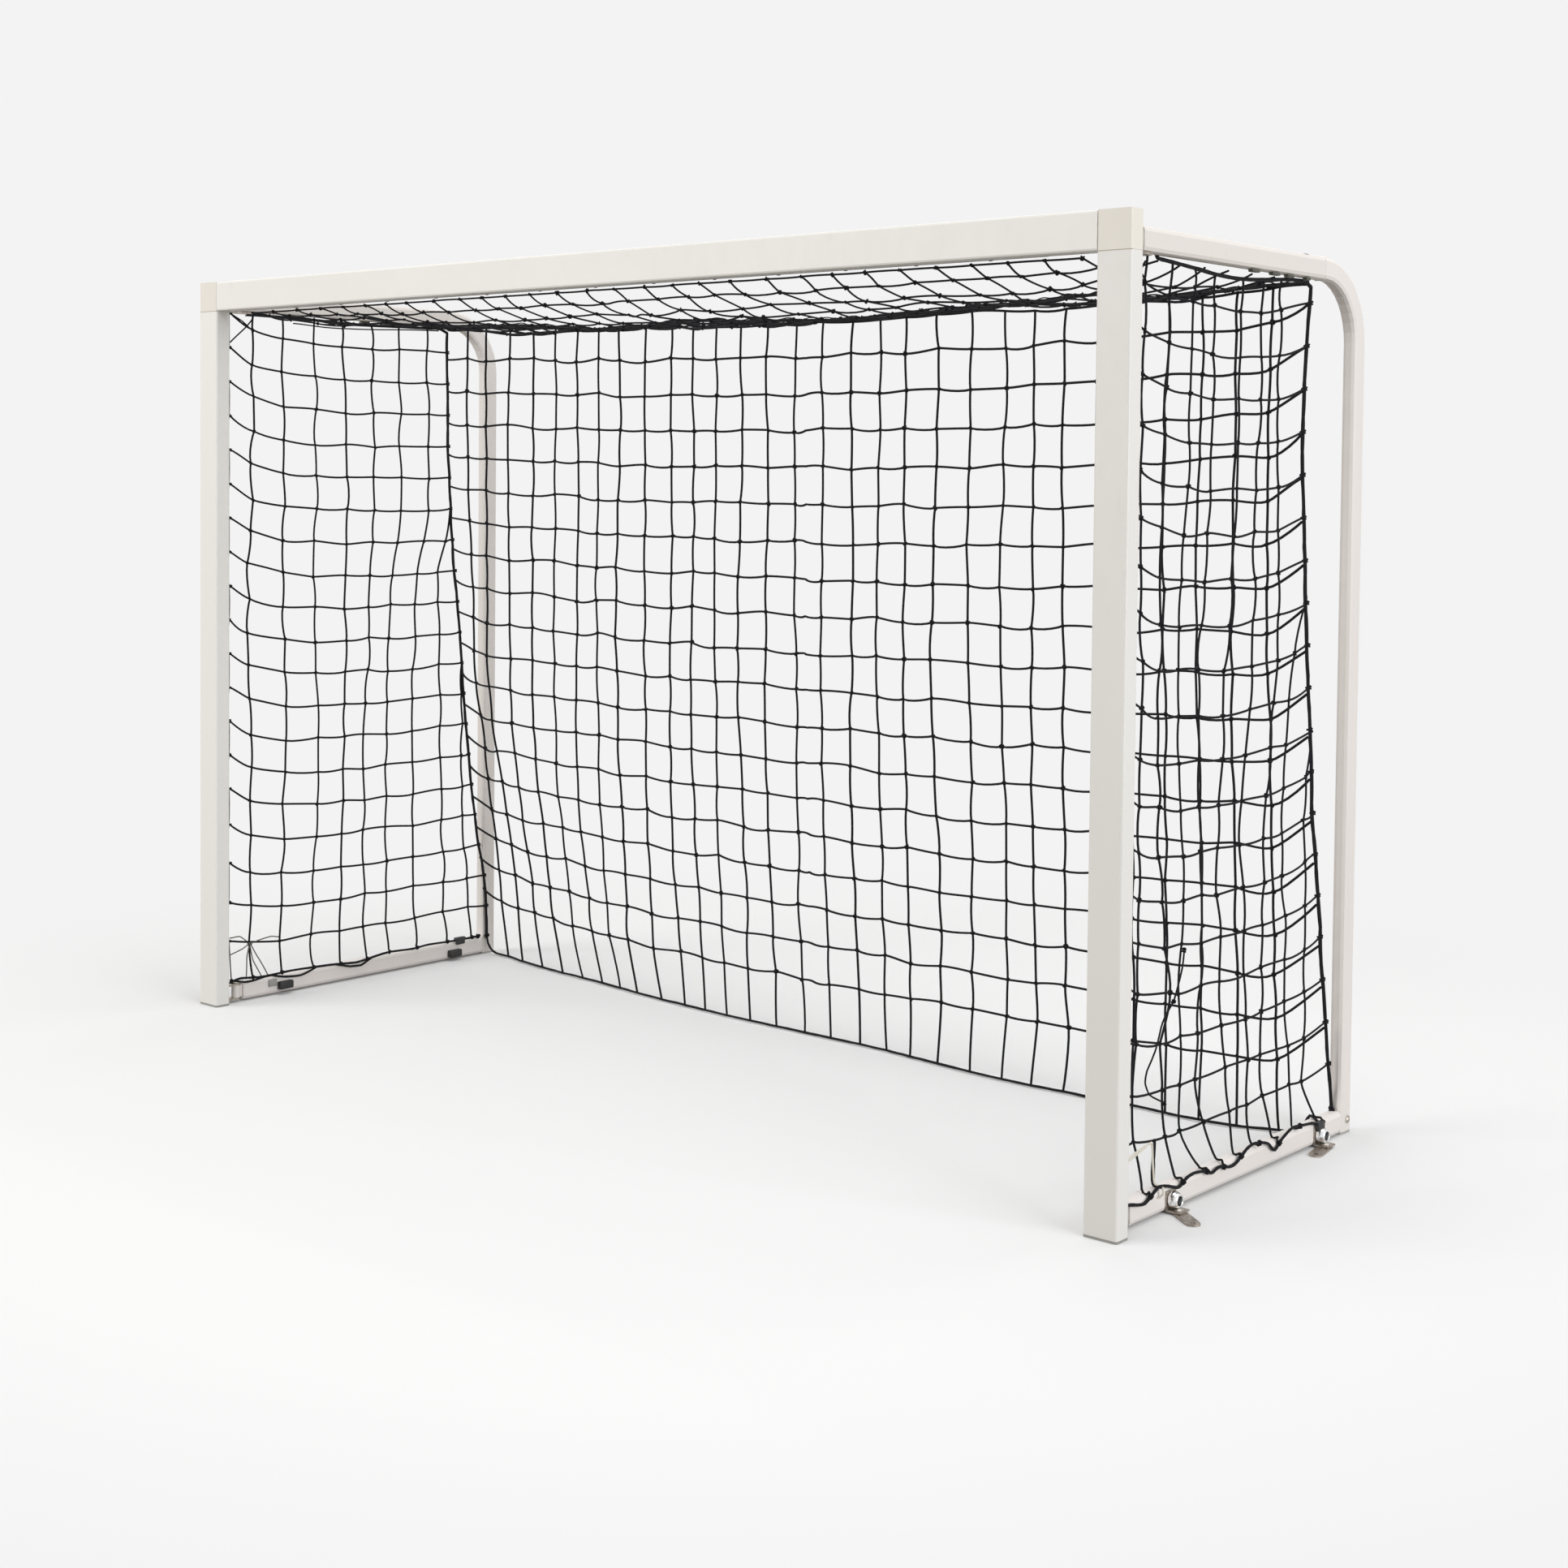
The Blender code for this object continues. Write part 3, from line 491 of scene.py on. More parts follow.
# Back net
def build_back():
    lean = [wobble(0.006) for _ in COLUMNS]
    grid = []
    for c, x in enumerate(COLUMNS):
        edge = c in (0, len(COLUMNS) - 1)
        phase = rng.uniform(0, 6.28)
        column = []
        for r in range(ROWS):
            drift = 0 if edge else lean[c] * math.sin(r * 0.5 + phase) + wobble(0.0028)
            lift = 0 if edge else wobble(0.0035) + 0.0025 * math.sin(c * 1.9 + r * 0.7)
            column.append(back_knot(x, r, drift, lift))
        grid.append(column)
    for c, s, top in ((0, -1, 1.523), (-1, 1, 1.559)):
        for r in range(1, ROWS - 1):
            z = top - 0.0795 * (r - 1)
            grid[c][r] = Vector((s * 1.2165, depth(rope_depth(s, z)), z))
    return grid


back_grid = build_back()


def to_side(obj):
    """Bakes the piece's placement into its mesh."""
    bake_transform(obj)


def from_post(obj):
    """Bakes the piece's placement into its mesh."""
    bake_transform(obj)


def build_back_net():
    halves = {"l": ([], []), "r": ([], [])}
    left_x, right_x = COLUMNS[MIDDLE - 1], COLUMNS[MIDDLE]
    centre = [(back_grid[MIDDLE - 1][r] * right_x - back_grid[MIDDLE][r] * left_x) / (right_x - left_x)
              for r in range(ROWS)]
    for c in range(1, len(COLUMNS) - 1):
        threads, marks = halves["l" if c < MIDDLE else "r"]
        threads.append(curve_through(back_grid[c], 5, 0.0, 0.0020))
        marks.extend(back_grid[c][1:ROWS - 1])
    for r in range(0, ROWS - 1):
        left = [back_grid[c][r] for c in range(0, MIDDLE)] + [centre[r]]
        right = [centre[r]] + [back_grid[c][r] for c in range(MIDDLE, len(COLUMNS))]
        halves["l"][0].append(curve_through(left, 5, 0.018, 0.003))
        halves["r"][0].append(curve_through(right, 5, 0.018, 0.003))
    for tag in SIDES:
        threads, marks = halves[tag]
        mesh = merge(sweep(threads, NET_R["back"]), knots(marks, 0.0041))
        obj = piece(f"back_net_{tag}", mesh, TWINE)
        to_side(obj)
        if tag == "l":
            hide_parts("net_back")


build_back_net()


# Ropes of the rear top edge and the ground, and the twine bunched round the rear one
def build_cross_ropes():
    for tag, s in SIDES.items():
        xs = [s * 1.214 * k / 24 for k in range(25)]
        top = [(x, depth(hem_depth(x)), along(REAR_ROPE, x)) for x in xs]
        rope = sweep([curve_through(top, 3, 0.0, 0.0015)], DROP_ROPE_R * 0.9, 12, 0.020, 4, 0.10)
        obj = piece(f"rear_top_rope_{tag}", rope, ROPE)
        to_side(obj)
        if s < 0:
            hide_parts("rear_cord")
        bunch = []
        for strand in range(2):
            phase = rng.uniform(0, 6.28)
            line = []
            for k in range(61):
                x = s * 1.212 * k / 60
                angle = phase + k * (0.9 + 0.25 * strand) + wobble(0.5)
                wide = (0.0030 + 0.0012 * strand) * min(1.0, 0.35 + abs(ROPE_X - abs(x)) / 0.12)
                line.append((x, depth(hem_depth(x)) + wide * math.cos(angle),
                             along(REAR_ROPE, x) + 0.002 + wide * math.sin(angle)))
            bunch.append(curve_through(line, 3, 0.0, 0.001))
        obj = piece(f"rear_top_twine_{tag}", sweep(bunch, TWINE_R * 0.65), TWINE)
        to_side(obj)
        low = [tuple(back_knot(x, ROWS - 1, 0, 0)) for x in xs if abs(x) < 1.16]
        low.extend((x, depth(y), z) for x, y, z in GROUND_ROPE_END[tag])
        rope = sweep([curve_through(low, 3, 0.0, 0.0006)], RAIL_ROPE_R, 12, 0.020, 4, 0.10)
        obj = piece(f"ground_rope_{tag}", rope, ROPE)
        to_side(obj)
        if s < 0:
            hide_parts("ground_cord")


build_cross_ropes()

# Side nets
SIDE_ROWS = 20
MID_Y = 0.35
RAIL_ROPE_X = {-1: 1.2065, 1: 1.2435}
RAIL_ROPE = {
    -1: [(0.045, 0.052), (0.070, 0.056), (0.110, 0.052), (0.142, 0.050), (0.211, 0.052), (0.276, 0.050),
         (0.341, 0.047), (0.401, 0.042), (0.426, 0.044), (0.500, 0.052), (0.577, 0.049), (0.628, 0.052),
         (0.721, 0.049), (0.790, 0.050)],
    1: [(0.046, 0.046), (0.076, 0.0426), (0.118, 0.0346), (0.160, 0.0526), (0.192, 0.0470), (0.224, 0.0376),
        (0.250, 0.0480), (0.276, 0.0506), (0.311, 0.0456), (0.332, 0.0376), (0.357, 0.0426), (0.393, 0.0346),
        (0.415, 0.0366), (0.448, 0.0526), (0.471, 0.0576), (0.500, 0.0540), (0.526, 0.0466), (0.550, 0.0296),
        (0.579, 0.0456), (0.614, 0.0566), (0.655, 0.0530), (0.691, 0.0490), (0.707, 0.0430)],
}
ARM_ROPE = {
    -1: [(0.096, 1.6055), (0.104, 1.5995), (0.19, 1.5985), (0.30, 1.597), (0.41, 1.594), (0.51, 1.596),
         (0.61, 1.598), (0.665, 1.599)],
    1: [(0.146, 1.6055), (0.152, 1.5995), (0.183, 1.5975), (0.234, 1.5945), (0.286, 1.5910), (0.331, 1.5875),
        (0.394, 1.5855), (0.449, 1.5870), (0.505, 1.5910), (0.551, 1.5950), (0.600, 1.5980), (0.645, 1.5985)],
}


def side_z(s, row, y):
    """Height of a side net's row at depth y: high at the post, low in the middle, up again at the rope."""
    if row == 0:
        return along(ARM_ROPE[s], y)
    if row == SIDE_ROWS:
        return RAIL_TOP + 0.014
    if s < 0:
        mid = 1.537 - 0.0785 * (row - 1)
        post, rear, reach = 0.062, 0.004, 0.075
    else:
        mid = 1.529 - 0.0783 * (row - 1)
        post, rear, reach = 0.070, 0.032, 0.085
    low = smooth((row - 15) / 5)
    post *= 1 - 0.75 * low
    rear *= 1 - 0.5 * low
    edge = rope_depth(s, mid)
    return mid + post * math.exp(-(y - NET_FRONT) / reach) + rear * math.exp(-(edge - y) / 0.085)


def row_end(s, row):
    """Where a row of the side net meets the rear rope, as (depth, height)."""
    z = side_z(s, row, rope_depth(s, side_z(s, row, MID_Y)))
    return rope_depth(s, z), z


LEFT_COLUMNS = [
    ((1.60, 0.113), (1.12, 0.108), (0.98, 0.095), (0.56, 0.105), (0.05, 0.105)),
    ((1.60, 0.194), (1.12, 0.197), (0.98, 0.192), (0.56, 0.199), (0.05, 0.187)),
    ((1.60, 0.284), (1.12, 0.287), (0.98, 0.276), (0.56, 0.294), (0.05, 0.277)),
    ((1.60, 0.366), (1.12, 0.376), (0.98, 0.371), (0.56, 0.368), (0.05, 0.357)),
    ((1.60, 0.454), (1.12, 0.461), (0.98, 0.446), (0.56, 0.429), (0.05, 0.437)),
    ((1.60, 0.537), (1.12, 0.544), (0.98, 0.512), (0.56, 0.495), (0.05, 0.505)),
    ((1.60, 0.626), (1.12, 0.633), (0.98, 0.588), (0.56, 0.579), (0.05, 0.592)),
    ((1.12, 0.704), (0.98, 0.660), (0.56, 0.674), (0.05, 0.690)),
    ((0.72, 0.744), (0.56, 0.742), (0.40, 0.748), (0.05, 0.770)),
]
RIGHT_COLUMNS = [
    ((1.60, 0.118), (1.20, 0.116), (0.90, 0.126), (0.60, 0.132), (0.30, 0.126), (0.19, 0.116), (0.12, 0.117),
     (0.05, 0.136)),
    ((1.60, 0.196), (1.20, 0.184), (0.90, 0.186), (0.60, 0.196), (0.44, 0.212), (0.399, 0.220),
     (0.349, 0.237), (0.316, 0.204), (0.266, 0.206), (0.207, 0.210), (0.12, 0.220), (0.05, 0.238)),
    ((1.60, 0.268), (1.20, 0.264), (0.90, 0.247), (0.60, 0.275), (0.30, 0.266), (0.13, 0.262), (0.076, 0.316),
     (0.05, 0.315)),
    ((1.60, 0.334), (1.20, 0.341), (0.90, 0.318), (0.60, 0.331), (0.30, 0.335), (0.167, 0.306),
     (0.125, 0.333), (0.089, 0.370), (0.05, 0.373)),
    ((1.60, 0.426), (1.20, 0.426), (0.90, 0.404), (0.60, 0.385), (0.30, 0.403), (0.165, 0.419),
     (0.093, 0.440), (0.05, 0.431)),
    ((1.60, 0.500), (1.20, 0.497), (0.90, 0.494), (0.60, 0.463), (0.30, 0.485), (0.13, 0.491), (0.05, 0.495)),
    ((1.60, 0.563), (1.20, 0.570), (0.90, 0.585), (0.60, 0.541), (0.30, 0.540), (0.13, 0.543), (0.05, 0.566)),
    ((1.00, 0.676), (0.86, 0.622), (0.60, 0.605), (0.30, 0.623), (0.11, 0.647), (0.05, 0.642)),
    ((0.76, 0.694), (0.60, 0.676), (0.45, 0.690), (0.30, 0.690), (0.096, 0.693), (0.05, 0.728)),
]


def column_depth(shape, z):
    """Depth of a side net's column, whose shape is given from the top down as (height, depth)."""
    return along(shape[::-1], z)


def over_rail(s, y):
    """The last stretch of a net column, from above the rail to the rope that lies along its edge."""
    rope_z = along(RAIL_ROPE[s], y)
    rope_x = RAIL_ROPE_X[s]
    if s < 0:
        return [Vector((-rope_x - 0.004, depth(y), rope_z + 0.006)), Vector((-rope_x, depth(y), rope_z))]
    return [Vector((1.226, depth(y), RAIL_TOP + 0.0065)),
            Vector((rope_x - 0.003, depth(y), RAIL_TOP + 0.0045)),
            Vector((rope_x + 0.001, depth(y), rope_z))]


def build_side_net(tag, s):
    columns = LEFT_COLUMNS if s < 0 else RIGHT_COLUMNS
    threads, marks = [], []
    rows = []
    for r in range(SIDE_ROWS + 1):
        mid_z = side_z(s, r, MID_Y)
        row = []
        for shape in columns:
            if mid_z > shape[0][0] + 0.01 and shape[0][0] < 1.55:
                row.append(None)
                continue
            y = column_depth(shape, mid_z)
            z = side_z(s, r, y)
            if 0 < r < SIDE_ROWS:
                y += wobble(0.004)
                z += wobble(0.004)
            belly = 0.010 * math.sin(math.pi * min(1, y / 0.7)) * math.sin(math.pi * z / 1.65)
            row.append(Vector((s * (NET_X - belly + wobble(0.002)), depth(y), z)))
        rows.append(row)
    for r in range(1, SIDE_ROWS):
        y, z = row_end(s, r)
        tied = [Vector((s * NET_X, depth(NET_FRONT), side_z(s, r, NET_FRONT)))]
        tied.extend(q for q in rows[r] if q is not None)
        threads.append(curve_through([*tied, Vector((s * rope_x(s, z), depth(y), z))], 5, 0.012, 0.0025))
        marks.extend(tied)
    for c, shape in enumerate(columns):
        line = [rows[r][c] for r in range(SIDE_ROWS) if rows[r][c] is not None]
        line.extend(over_rail(s, shape[-1][1]))
        marks.append(line[-1])
        if shape[0][0] < 1.55:
            z = shape[0][0] + 0.03
            line = [Vector((s * NET_X, depth(rope_depth(s, z)), z)), *line]
        threads.append(curve_through(line, 5, 0.0, 0.003))
    obj = piece(f"side_net_{tag}", merge(sweep(threads, NET_R[tag]), knots(marks)), TWINE)
    from_post(obj)
    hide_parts(f"net_side_{tag}")


for tag, s in SIDES.items():
    build_side_net(tag, s)


# Ropes round the side nets, with the turns of twine that hold the net to them
def lashing(centre, axis, radius):
    """One turn of twine round a rope that runs along the axis."""
    axis = Vector(axis).normalized()
    side = axis.orthogonal().normalized()
    up = axis.cross(side)
    line = []
    for k in range(9):
        a = 2 * math.pi * k / 7
        ahead = axis * 0.005 * (k / 8 - 0.5)
        line.append(tuple(Vector(centre) + side * radius * math.cos(a) + up * radius * math.sin(a) + ahead))
    return line


def build_side_ropes(tag, s):
    body = f"side_frame_{tag}"
    rear = []
    for k in range(27):
        z = HEM_Z - k * (HEM_Z - ROPE_FOOT_Z) / 26
        rear.append((s * (rope_x(s, z) + wobble(0.0012)), depth(rope_depth(s, z) + wobble(0.0018)), z))
    arm = [(s * NET_X, depth(y), z) for y, z in ARM_ROPE[s]]
    rail = [(s * RAIL_ROPE_X[s], depth(y), z) for y, z in RAIL_ROPE[s]]
    lines = [curve_through(arm + [rear[0]], 4), curve_through(rear, 4, 0.0, 0.0008)]
    drop = sweep(lines, DROP_ROPE_R, 12, 0.022, 4, 0.10)
    lead = sweep([curve_through(rail, 4)], RAIL_ROPE_R, 12, 0.018, 4, 0.10)
    ends = knots([rear[-1], rail[0]] + ([rail[-1]] if s < 0 else []), 0.0050)
    obj = piece(f"side_rope_{tag}", merge(lead, drop, ends), ROPE)
    from_post(obj)
    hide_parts(f"side_cord_{tag}")
    ties = []
    for r in range(1, SIDE_ROWS):
        y, z = row_end(s, r)
        ties.append(lashing((s * rope_x(s, z), depth(y), z), (0, 0, 1), 0.0046))
    for shape in LEFT_COLUMNS if s < 0 else RIGHT_COLUMNS:
        y = shape[-1][1]
        ties.append(lashing((s * RAIL_ROPE_X[s], depth(y), along(RAIL_ROPE[s], y)), (0, 1, 0), 0.0038))
    piece(f"rope_lashings_{tag}", sweep(ties, TWINE_R, 6), ROPE, body)


for tag, s in SIDES.items():
    build_side_ropes(tag, s)


# Loose strands at the corners: routes listed as (x, depth, z)
def strand(name, tag, routes, look, radius):
    lines = [curve_through([(x, depth(y), z) for x, y, z in route], 4, 0.0, 0.0008) for route in routes]
    from_post(piece(name, sweep(lines, radius), look))


def build_loose_strands():
    n = NET_X
    for tag, s in SIDES.items():
        crossing = [[(s * n, 0.050, 1.532), (s * n, 0.082, 1.560), (s * n, 0.113, 1.592)],
                    [(s * n, 0.052, 1.598), (s * n, 0.084, 1.582), (s * n, 0.115, 1.560)]]
        strand(f"corner_twine_{tag}", tag, crossing, TWINE, TWINE_R * 0.9)
    low = [[(-n, 0.225, 1.586), (-n, 0.292, 1.583), (-n, 0.387, 1.583), (-n, 0.510, 1.588),
            (-n, 0.663, 1.594)]]
    strand("arm_second_strand_l", "l", low, TWINE, TWINE_R * 0.8)
    near, far = -1.2065, -1.2055
    dips = [[(near, 0.150, 0.051), (far, 0.192, 0.041), (far, 0.240, 0.037), (near, 0.285, 0.049)],
            [(near, 0.340, 0.047), (far, 0.385, 0.035), (far, 0.418, 0.033), (near, 0.450, 0.046)],
            [(near, 0.050, 0.053), (far, 0.080, 0.046), (far, 0.118, 0.047), (near, 0.150, 0.051)]]
    strand("rail_second_strand_l", "l", dips, ROPE, TWINE_R * 1.25)
    bow = [[(-1.214, 0.046, 0.153), (-1.218, 0.075, 0.152), (-1.220, 0.105, 0.132), (-1.220, 0.135, 0.136),
            (-1.220, 0.165, 0.139), (-1.220, 0.190, 0.134)],
           [(-1.214, 0.046, 0.113), (-1.218, 0.078, 0.120), (-1.220, 0.105, 0.132)],
           [(-1.220, 0.105, 0.132), (-1.216, 0.094, 0.100), (-1.207, 0.086, 0.056)],
           [(-1.220, 0.106, 0.132), (-1.216, 0.122, 0.100), (-1.207, 0.146, 0.052)],
           [(-1.220, 0.104, 0.131), (-1.217, 0.112, 0.090), (-1.207, 0.128, 0.052)]]
    strand("tie_cord_l", "l", bow, FADED, 0.0015)
    piece("tie_knot_l", knots([(-1.220, depth(0.105), 0.131)], 0.0052), FADED, "side_frame_l")
    double = [[(1.221, 0.182, 0.125), (1.2215, 0.176, 0.090), (1.226, 0.170, 0.052), (1.2425, 0.168, 0.050)],
              [(1.219, 0.186, 0.122), (1.2190, 0.184, 0.088), (1.225, 0.175, 0.052), (1.2425, 0.172, 0.049)]]
    strand("lower_twine_r", "r", double, TWINE, TWINE_R * 1.1)
    cream = [[(1.2215, 0.050, 0.104), (1.2225, 0.080, 0.108), (1.2225, 0.115, 0.114), (1.2220, 0.142, 0.118),
              (1.2215, 0.172, 0.121)],
             [(1.2235, 0.052, 0.100), (1.2245, 0.082, 0.105), (1.2240, 0.118, 0.111), (1.2235, 0.150, 0.118)],
             [(1.2225, 0.172, 0.121), (1.2240, 0.173, 0.085), (1.2280, 0.172, 0.054), (1.2450, 0.170, 0.051),
              (1.2475, 0.168, 0.040), (1.2430, 0.164, 0.033)]]
    strand("tie_cord_r", "r", cream, CREAM, 0.0019)
    gathered = [[(n, 0.268, 0.432), (n, 0.259, 0.393), (n, 0.237, 0.349)],
                [(n, 0.237, 0.349), (1.218, 0.206, 0.318), (1.217, 0.190, 0.280), (1.217, 0.161, 0.244),
                 (1.217, 0.156, 0.224), (1.218, 0.170, 0.201), (n, 0.212, 0.180)]]
    strand("gathered_twine_r", "r", gathered, TWINE, TWINE_R * 0.8)
    meet = [(n, depth(0.237), 0.349), (n, depth(0.268), 0.432), (n, depth(0.212), 0.180)]
    piece("gathered_knots_r", knots(meet, 0.0042), TWINE, "side_frame_r")


build_loose_strands()


# The cord along each side net's front edge: through the post's hooks and the ends of the rows
def build_post_borders():
    for tag, s in SIDES.items():
        x, y = s * (NET_X + 0.0015), NET_FRONT - 0.0015
        places = [(x, y, side_z(s, r, NET_FRONT)) for r in range(1, SIDE_ROWS)]
        places.extend((s * (HINGE_X - 0.002), HOOK_Y, z + 0.0062) for z in HOOK_Z)
        places.sort(key=lambda place: -place[2])
        places.append((s * RAIL_ROPE_X[s], *RAIL_ROPE[s][0]))
        line = curve_through([(x, depth(y), z) for x, y, z in places], 6, 0.0, 0.0006)
        piece(f"net_border_{tag}", sweep([line], BORDER_R, 8), TWINE, "goal_frame")


build_post_borders()


# Top net
def top_knot(x, row):
    y = TOP_ROW_Y[row]
    t = (y - TOP_FRONT) / (REAR_Y - TOP_FRONT)
    flat = (1 - abs(x / ROPE_X) ** 14) * (1 - 0.6 * smooth((-x - 0.45) / 0.5))
    z = BAR_HOOK_Z + (along(REAR_ROPE, x) - BAR_HOOK_Z) * t - along(TOP_DROP, t) * flat
    reach = (hem_depth(x) - TOP_FRONT) / (REAR_Y - TOP_FRONT)
    return Vector((x, depth(TOP_FRONT + (y - TOP_FRONT) * reach), z))


def build_top():
    grid = []
    for c, x in enumerate(COLUMNS):
        column = []
        for r in range(len(TOP_ROW_Y)):
            knot = top_knot(x, r)
            if 0 < r and 0 < c < len(COLUMNS) - 1:
                loose = 0.5 if r == 1 else 1.0
                knot += Vector((wobble(0.009), wobble(0.008), wobble(0.004))) * loose
            column.append(knot)
        column.append(Vector((x, depth(hem_depth(x)), along(REAR_ROPE, x))))
        grid.append(column)
    return grid


top_grid = build_top()


def build_top_net():
    for c in range(1, len(COLUMNS) - 1):
        x = COLUMNS[c]
        tag = "l" if x < 0 else "r"
        twine = sweep([curve_through(top_grid[c], 5, 0.02, 0.003)], NET_R["top"])
        obj = piece(f"top_twine_{c}", twine, TWINE)
        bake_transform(obj)
        if c == 1:
            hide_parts("net_top")
    for r, y in enumerate(TOP_ROW_Y):
        centre = (top_grid[MIDDLE - 1][r] + top_grid[MIDDLE][r]) / 2
        centre.x = 0
        for tag, s in SIDES.items():
            columns = range(1, MIDDLE) if s < 0 else range(len(COLUMNS) - 2, MIDDLE - 1, -1)
            side = [top_grid[c][r] for c in columns]
            line = [*side, centre]
            twine = sweep([curve_through(line, 5, 0.02 if r else 0.0, 0.003 if r else 0.001)], NET_R["top"])
            mesh = merge(twine, knots(side))
            obj = piece(f"top_row_{r}_{tag}", mesh, TWINE, None if r else "goal_frame")
            if r:
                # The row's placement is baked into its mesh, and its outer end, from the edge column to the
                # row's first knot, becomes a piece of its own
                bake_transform(obj)
                last, knot = top_grid[0 if s < 0 else -1][r], side[0]
                twine = sweep([curve_through([last, knot], 5, 0.02, 0.003)], NET_R["top"])
                obj = piece(f"top_end_{r}_{tag}", twine, TWINE)
                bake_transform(obj)


build_top_net()


# Small hard pieces
def at(x, y, z, axis="Z"):
    """A place on the goal, with the piece's own Z turned along the axis."""
    turns = {"X": Matrix.Rotation(math.pi / 2, 4, "Y"), "Y": Matrix.Rotation(-math.pi / 2, 4, "X"),
             "Z": Matrix.Identity(4)}
    return Matrix.Translation((x, depth(y), z)) @ turns[axis]


def block(size, place, bevel=0.0015):
    bm = bmesh.new()
    bmesh.ops.create_cube(bm, size=1)
    bmesh.ops.scale(bm, vec=size, verts=bm.verts)
    bmesh.ops.bevel(bm, geom=list(bm.edges), offset=bevel, segments=3, affect="EDGES", profile=0.5)
    bm.transform(place)
    return bm


def turned(low_r, high_r, height, place, sides=32, bevel=0.0005):
    bm = bmesh.new()
    bmesh.ops.create_cone(bm, cap_ends=True, segments=sides, radius1=low_r, radius2=high_r, depth=height)
    rims = [e for e in bm.edges if e.calc_face_angle(0) > 0.9]
    bmesh.ops.bevel(bm, geom=rims, offset=bevel, segments=2, affect="EDGES", profile=0.5)
    bm.transform(place)
    return bm


def lathed(outline, s, x, y, z):
    """The closed outline (radius, distance out), turned round a line that points outward along X."""
    sides = 40
    bm = bmesh.new()
    rings = []
    for radius, out in outline:
        ring = []
        for k in range(sides):
            a = 2 * math.pi * k / sides
            place = (s * (x + out), depth(y) + radius * math.cos(a), z + radius * math.sin(a))
            ring.append(bm.verts.new(place))
        rings.append(ring)
    for ring, after in zip(rings, rings[1:] + rings[:1]):
        for k in range(sides):
            bm.faces.new((ring[k], ring[(k + 1) % sides], after[(k + 1) % sides], after[k]))
    return bm


def joined(*parts):
    whole = bmesh.new()
    for part in parts:
        data = bpy.data.meshes.new("joined")
        part.to_mesh(data)
        part.free()
        whole.from_mesh(data)
        bpy.data.meshes.remove(data)
    return whole


# Where the black block sits, off the axis of an anchor's screw: along the rail, up
BLOCK_SHIFT = {"front": (-0.010, 0.0), "rear": (-0.006, -0.004)}
# The chrome bell round an anchor's screw head, as (radius, distance out from the rail)
BELL = [(0.0050, 0.0036), (0.0120, 0.0036), (0.0140, 0.0046), (0.0146, 0.0070), (0.0146, 0.0100),
        (0.0140, 0.0130), (0.0131, 0.0160), (0.0121, 0.0185), (0.0108, 0.0200), (0.0094, 0.0205),
        (0.0086, 0.0200), (0.0083, 0.0185), (0.0083, 0.0069), (0.0050, 0.0069)]


def build_rail_fittings(tag, s):
    body = f"side_frame_{tag}"
    for spot, y in ANCHOR_Y.items():
        inner = TUBE_IN - 0.0078
        shift, drop = BLOCK_SHIFT[spot]
        lower = block((0.0140, 0.038, 0.0185), at(s * inner, y + shift, ANCHOR_Z + drop), 0.003)
        ridge = block((0.0040, 0.032, 0.0050), at(s * (inner - 0.0065), y + shift, ANCHOR_Z + drop), 0.001)
        bm_piece(f"rail_block_{spot}_{tag}", joined(lower, ridge), BLACK, body)
        head = turned(0.0060, 0.0038, 0.0012, at(s * (TUBE_OUT + 0.018), y, 0.0078), 32, 0.0003)
        washer = turned(0.0080, 0.0080, 0.0008, at(s * (TUBE_OUT + 0.018), y, 0.0070), 32, 0.0002)
        bm_piece(f"foot_rivet_{spot}_{tag}", joined(head, washer), BRIGHT, body)
        cup = lathed(BELL, s, TUBE_OUT, y, ANCHOR_Z)
        bell = bm_piece(f"chrome_bell_{spot}_{tag}", cup, CHROME, body)
        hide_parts(f"anchor_cup_{spot}_{tag}")
    stop = block((0.0045, 0.022, 0.0170), at(s * (TUBE_IN - 0.0028), 0.161, 0.031), 0.0012)
    bm_piece(f"rail_stop_{tag}", stop, GREY, body)
    if s > 0:
        clamp = block((0.011, 0.024, 0.0165), at(1.2450, 0.715, 0.0395), 0.003)
    else:
        clamp = joined(block((0.013, 0.032, 0.010), at(-1.2085, 0.731, 0.0510), 0.003),
                       block((0.007, 0.026, 0.012), at(-1.2055, 0.731, 0.0440), 0.0025))
    bm_piece(f"rope_clamp_{tag}", clamp, BLACK, body)
    y, z = LEG_BOLT
    washer = turned(0.0088, 0.0088, 0.0010, at(s * (TUBE_OUT + 0.0006), y, z, "X"))
    bm_piece(f"leg_washer_{tag}", washer, BRIGHT, body)


def rounded_ring(half_a, half_b, radius, steps):
    """A closed line round a profile with rounded corners, as offsets from its middle."""
    line = []
    for k in range(steps + 1):
        a = 2 * math.pi * k / steps
        line.append((math.copysign(half_a - radius, math.cos(a)) + radius * math.cos(a),
                     math.copysign(half_b - radius, math.sin(a)) + radius * math.sin(a)))
    return line


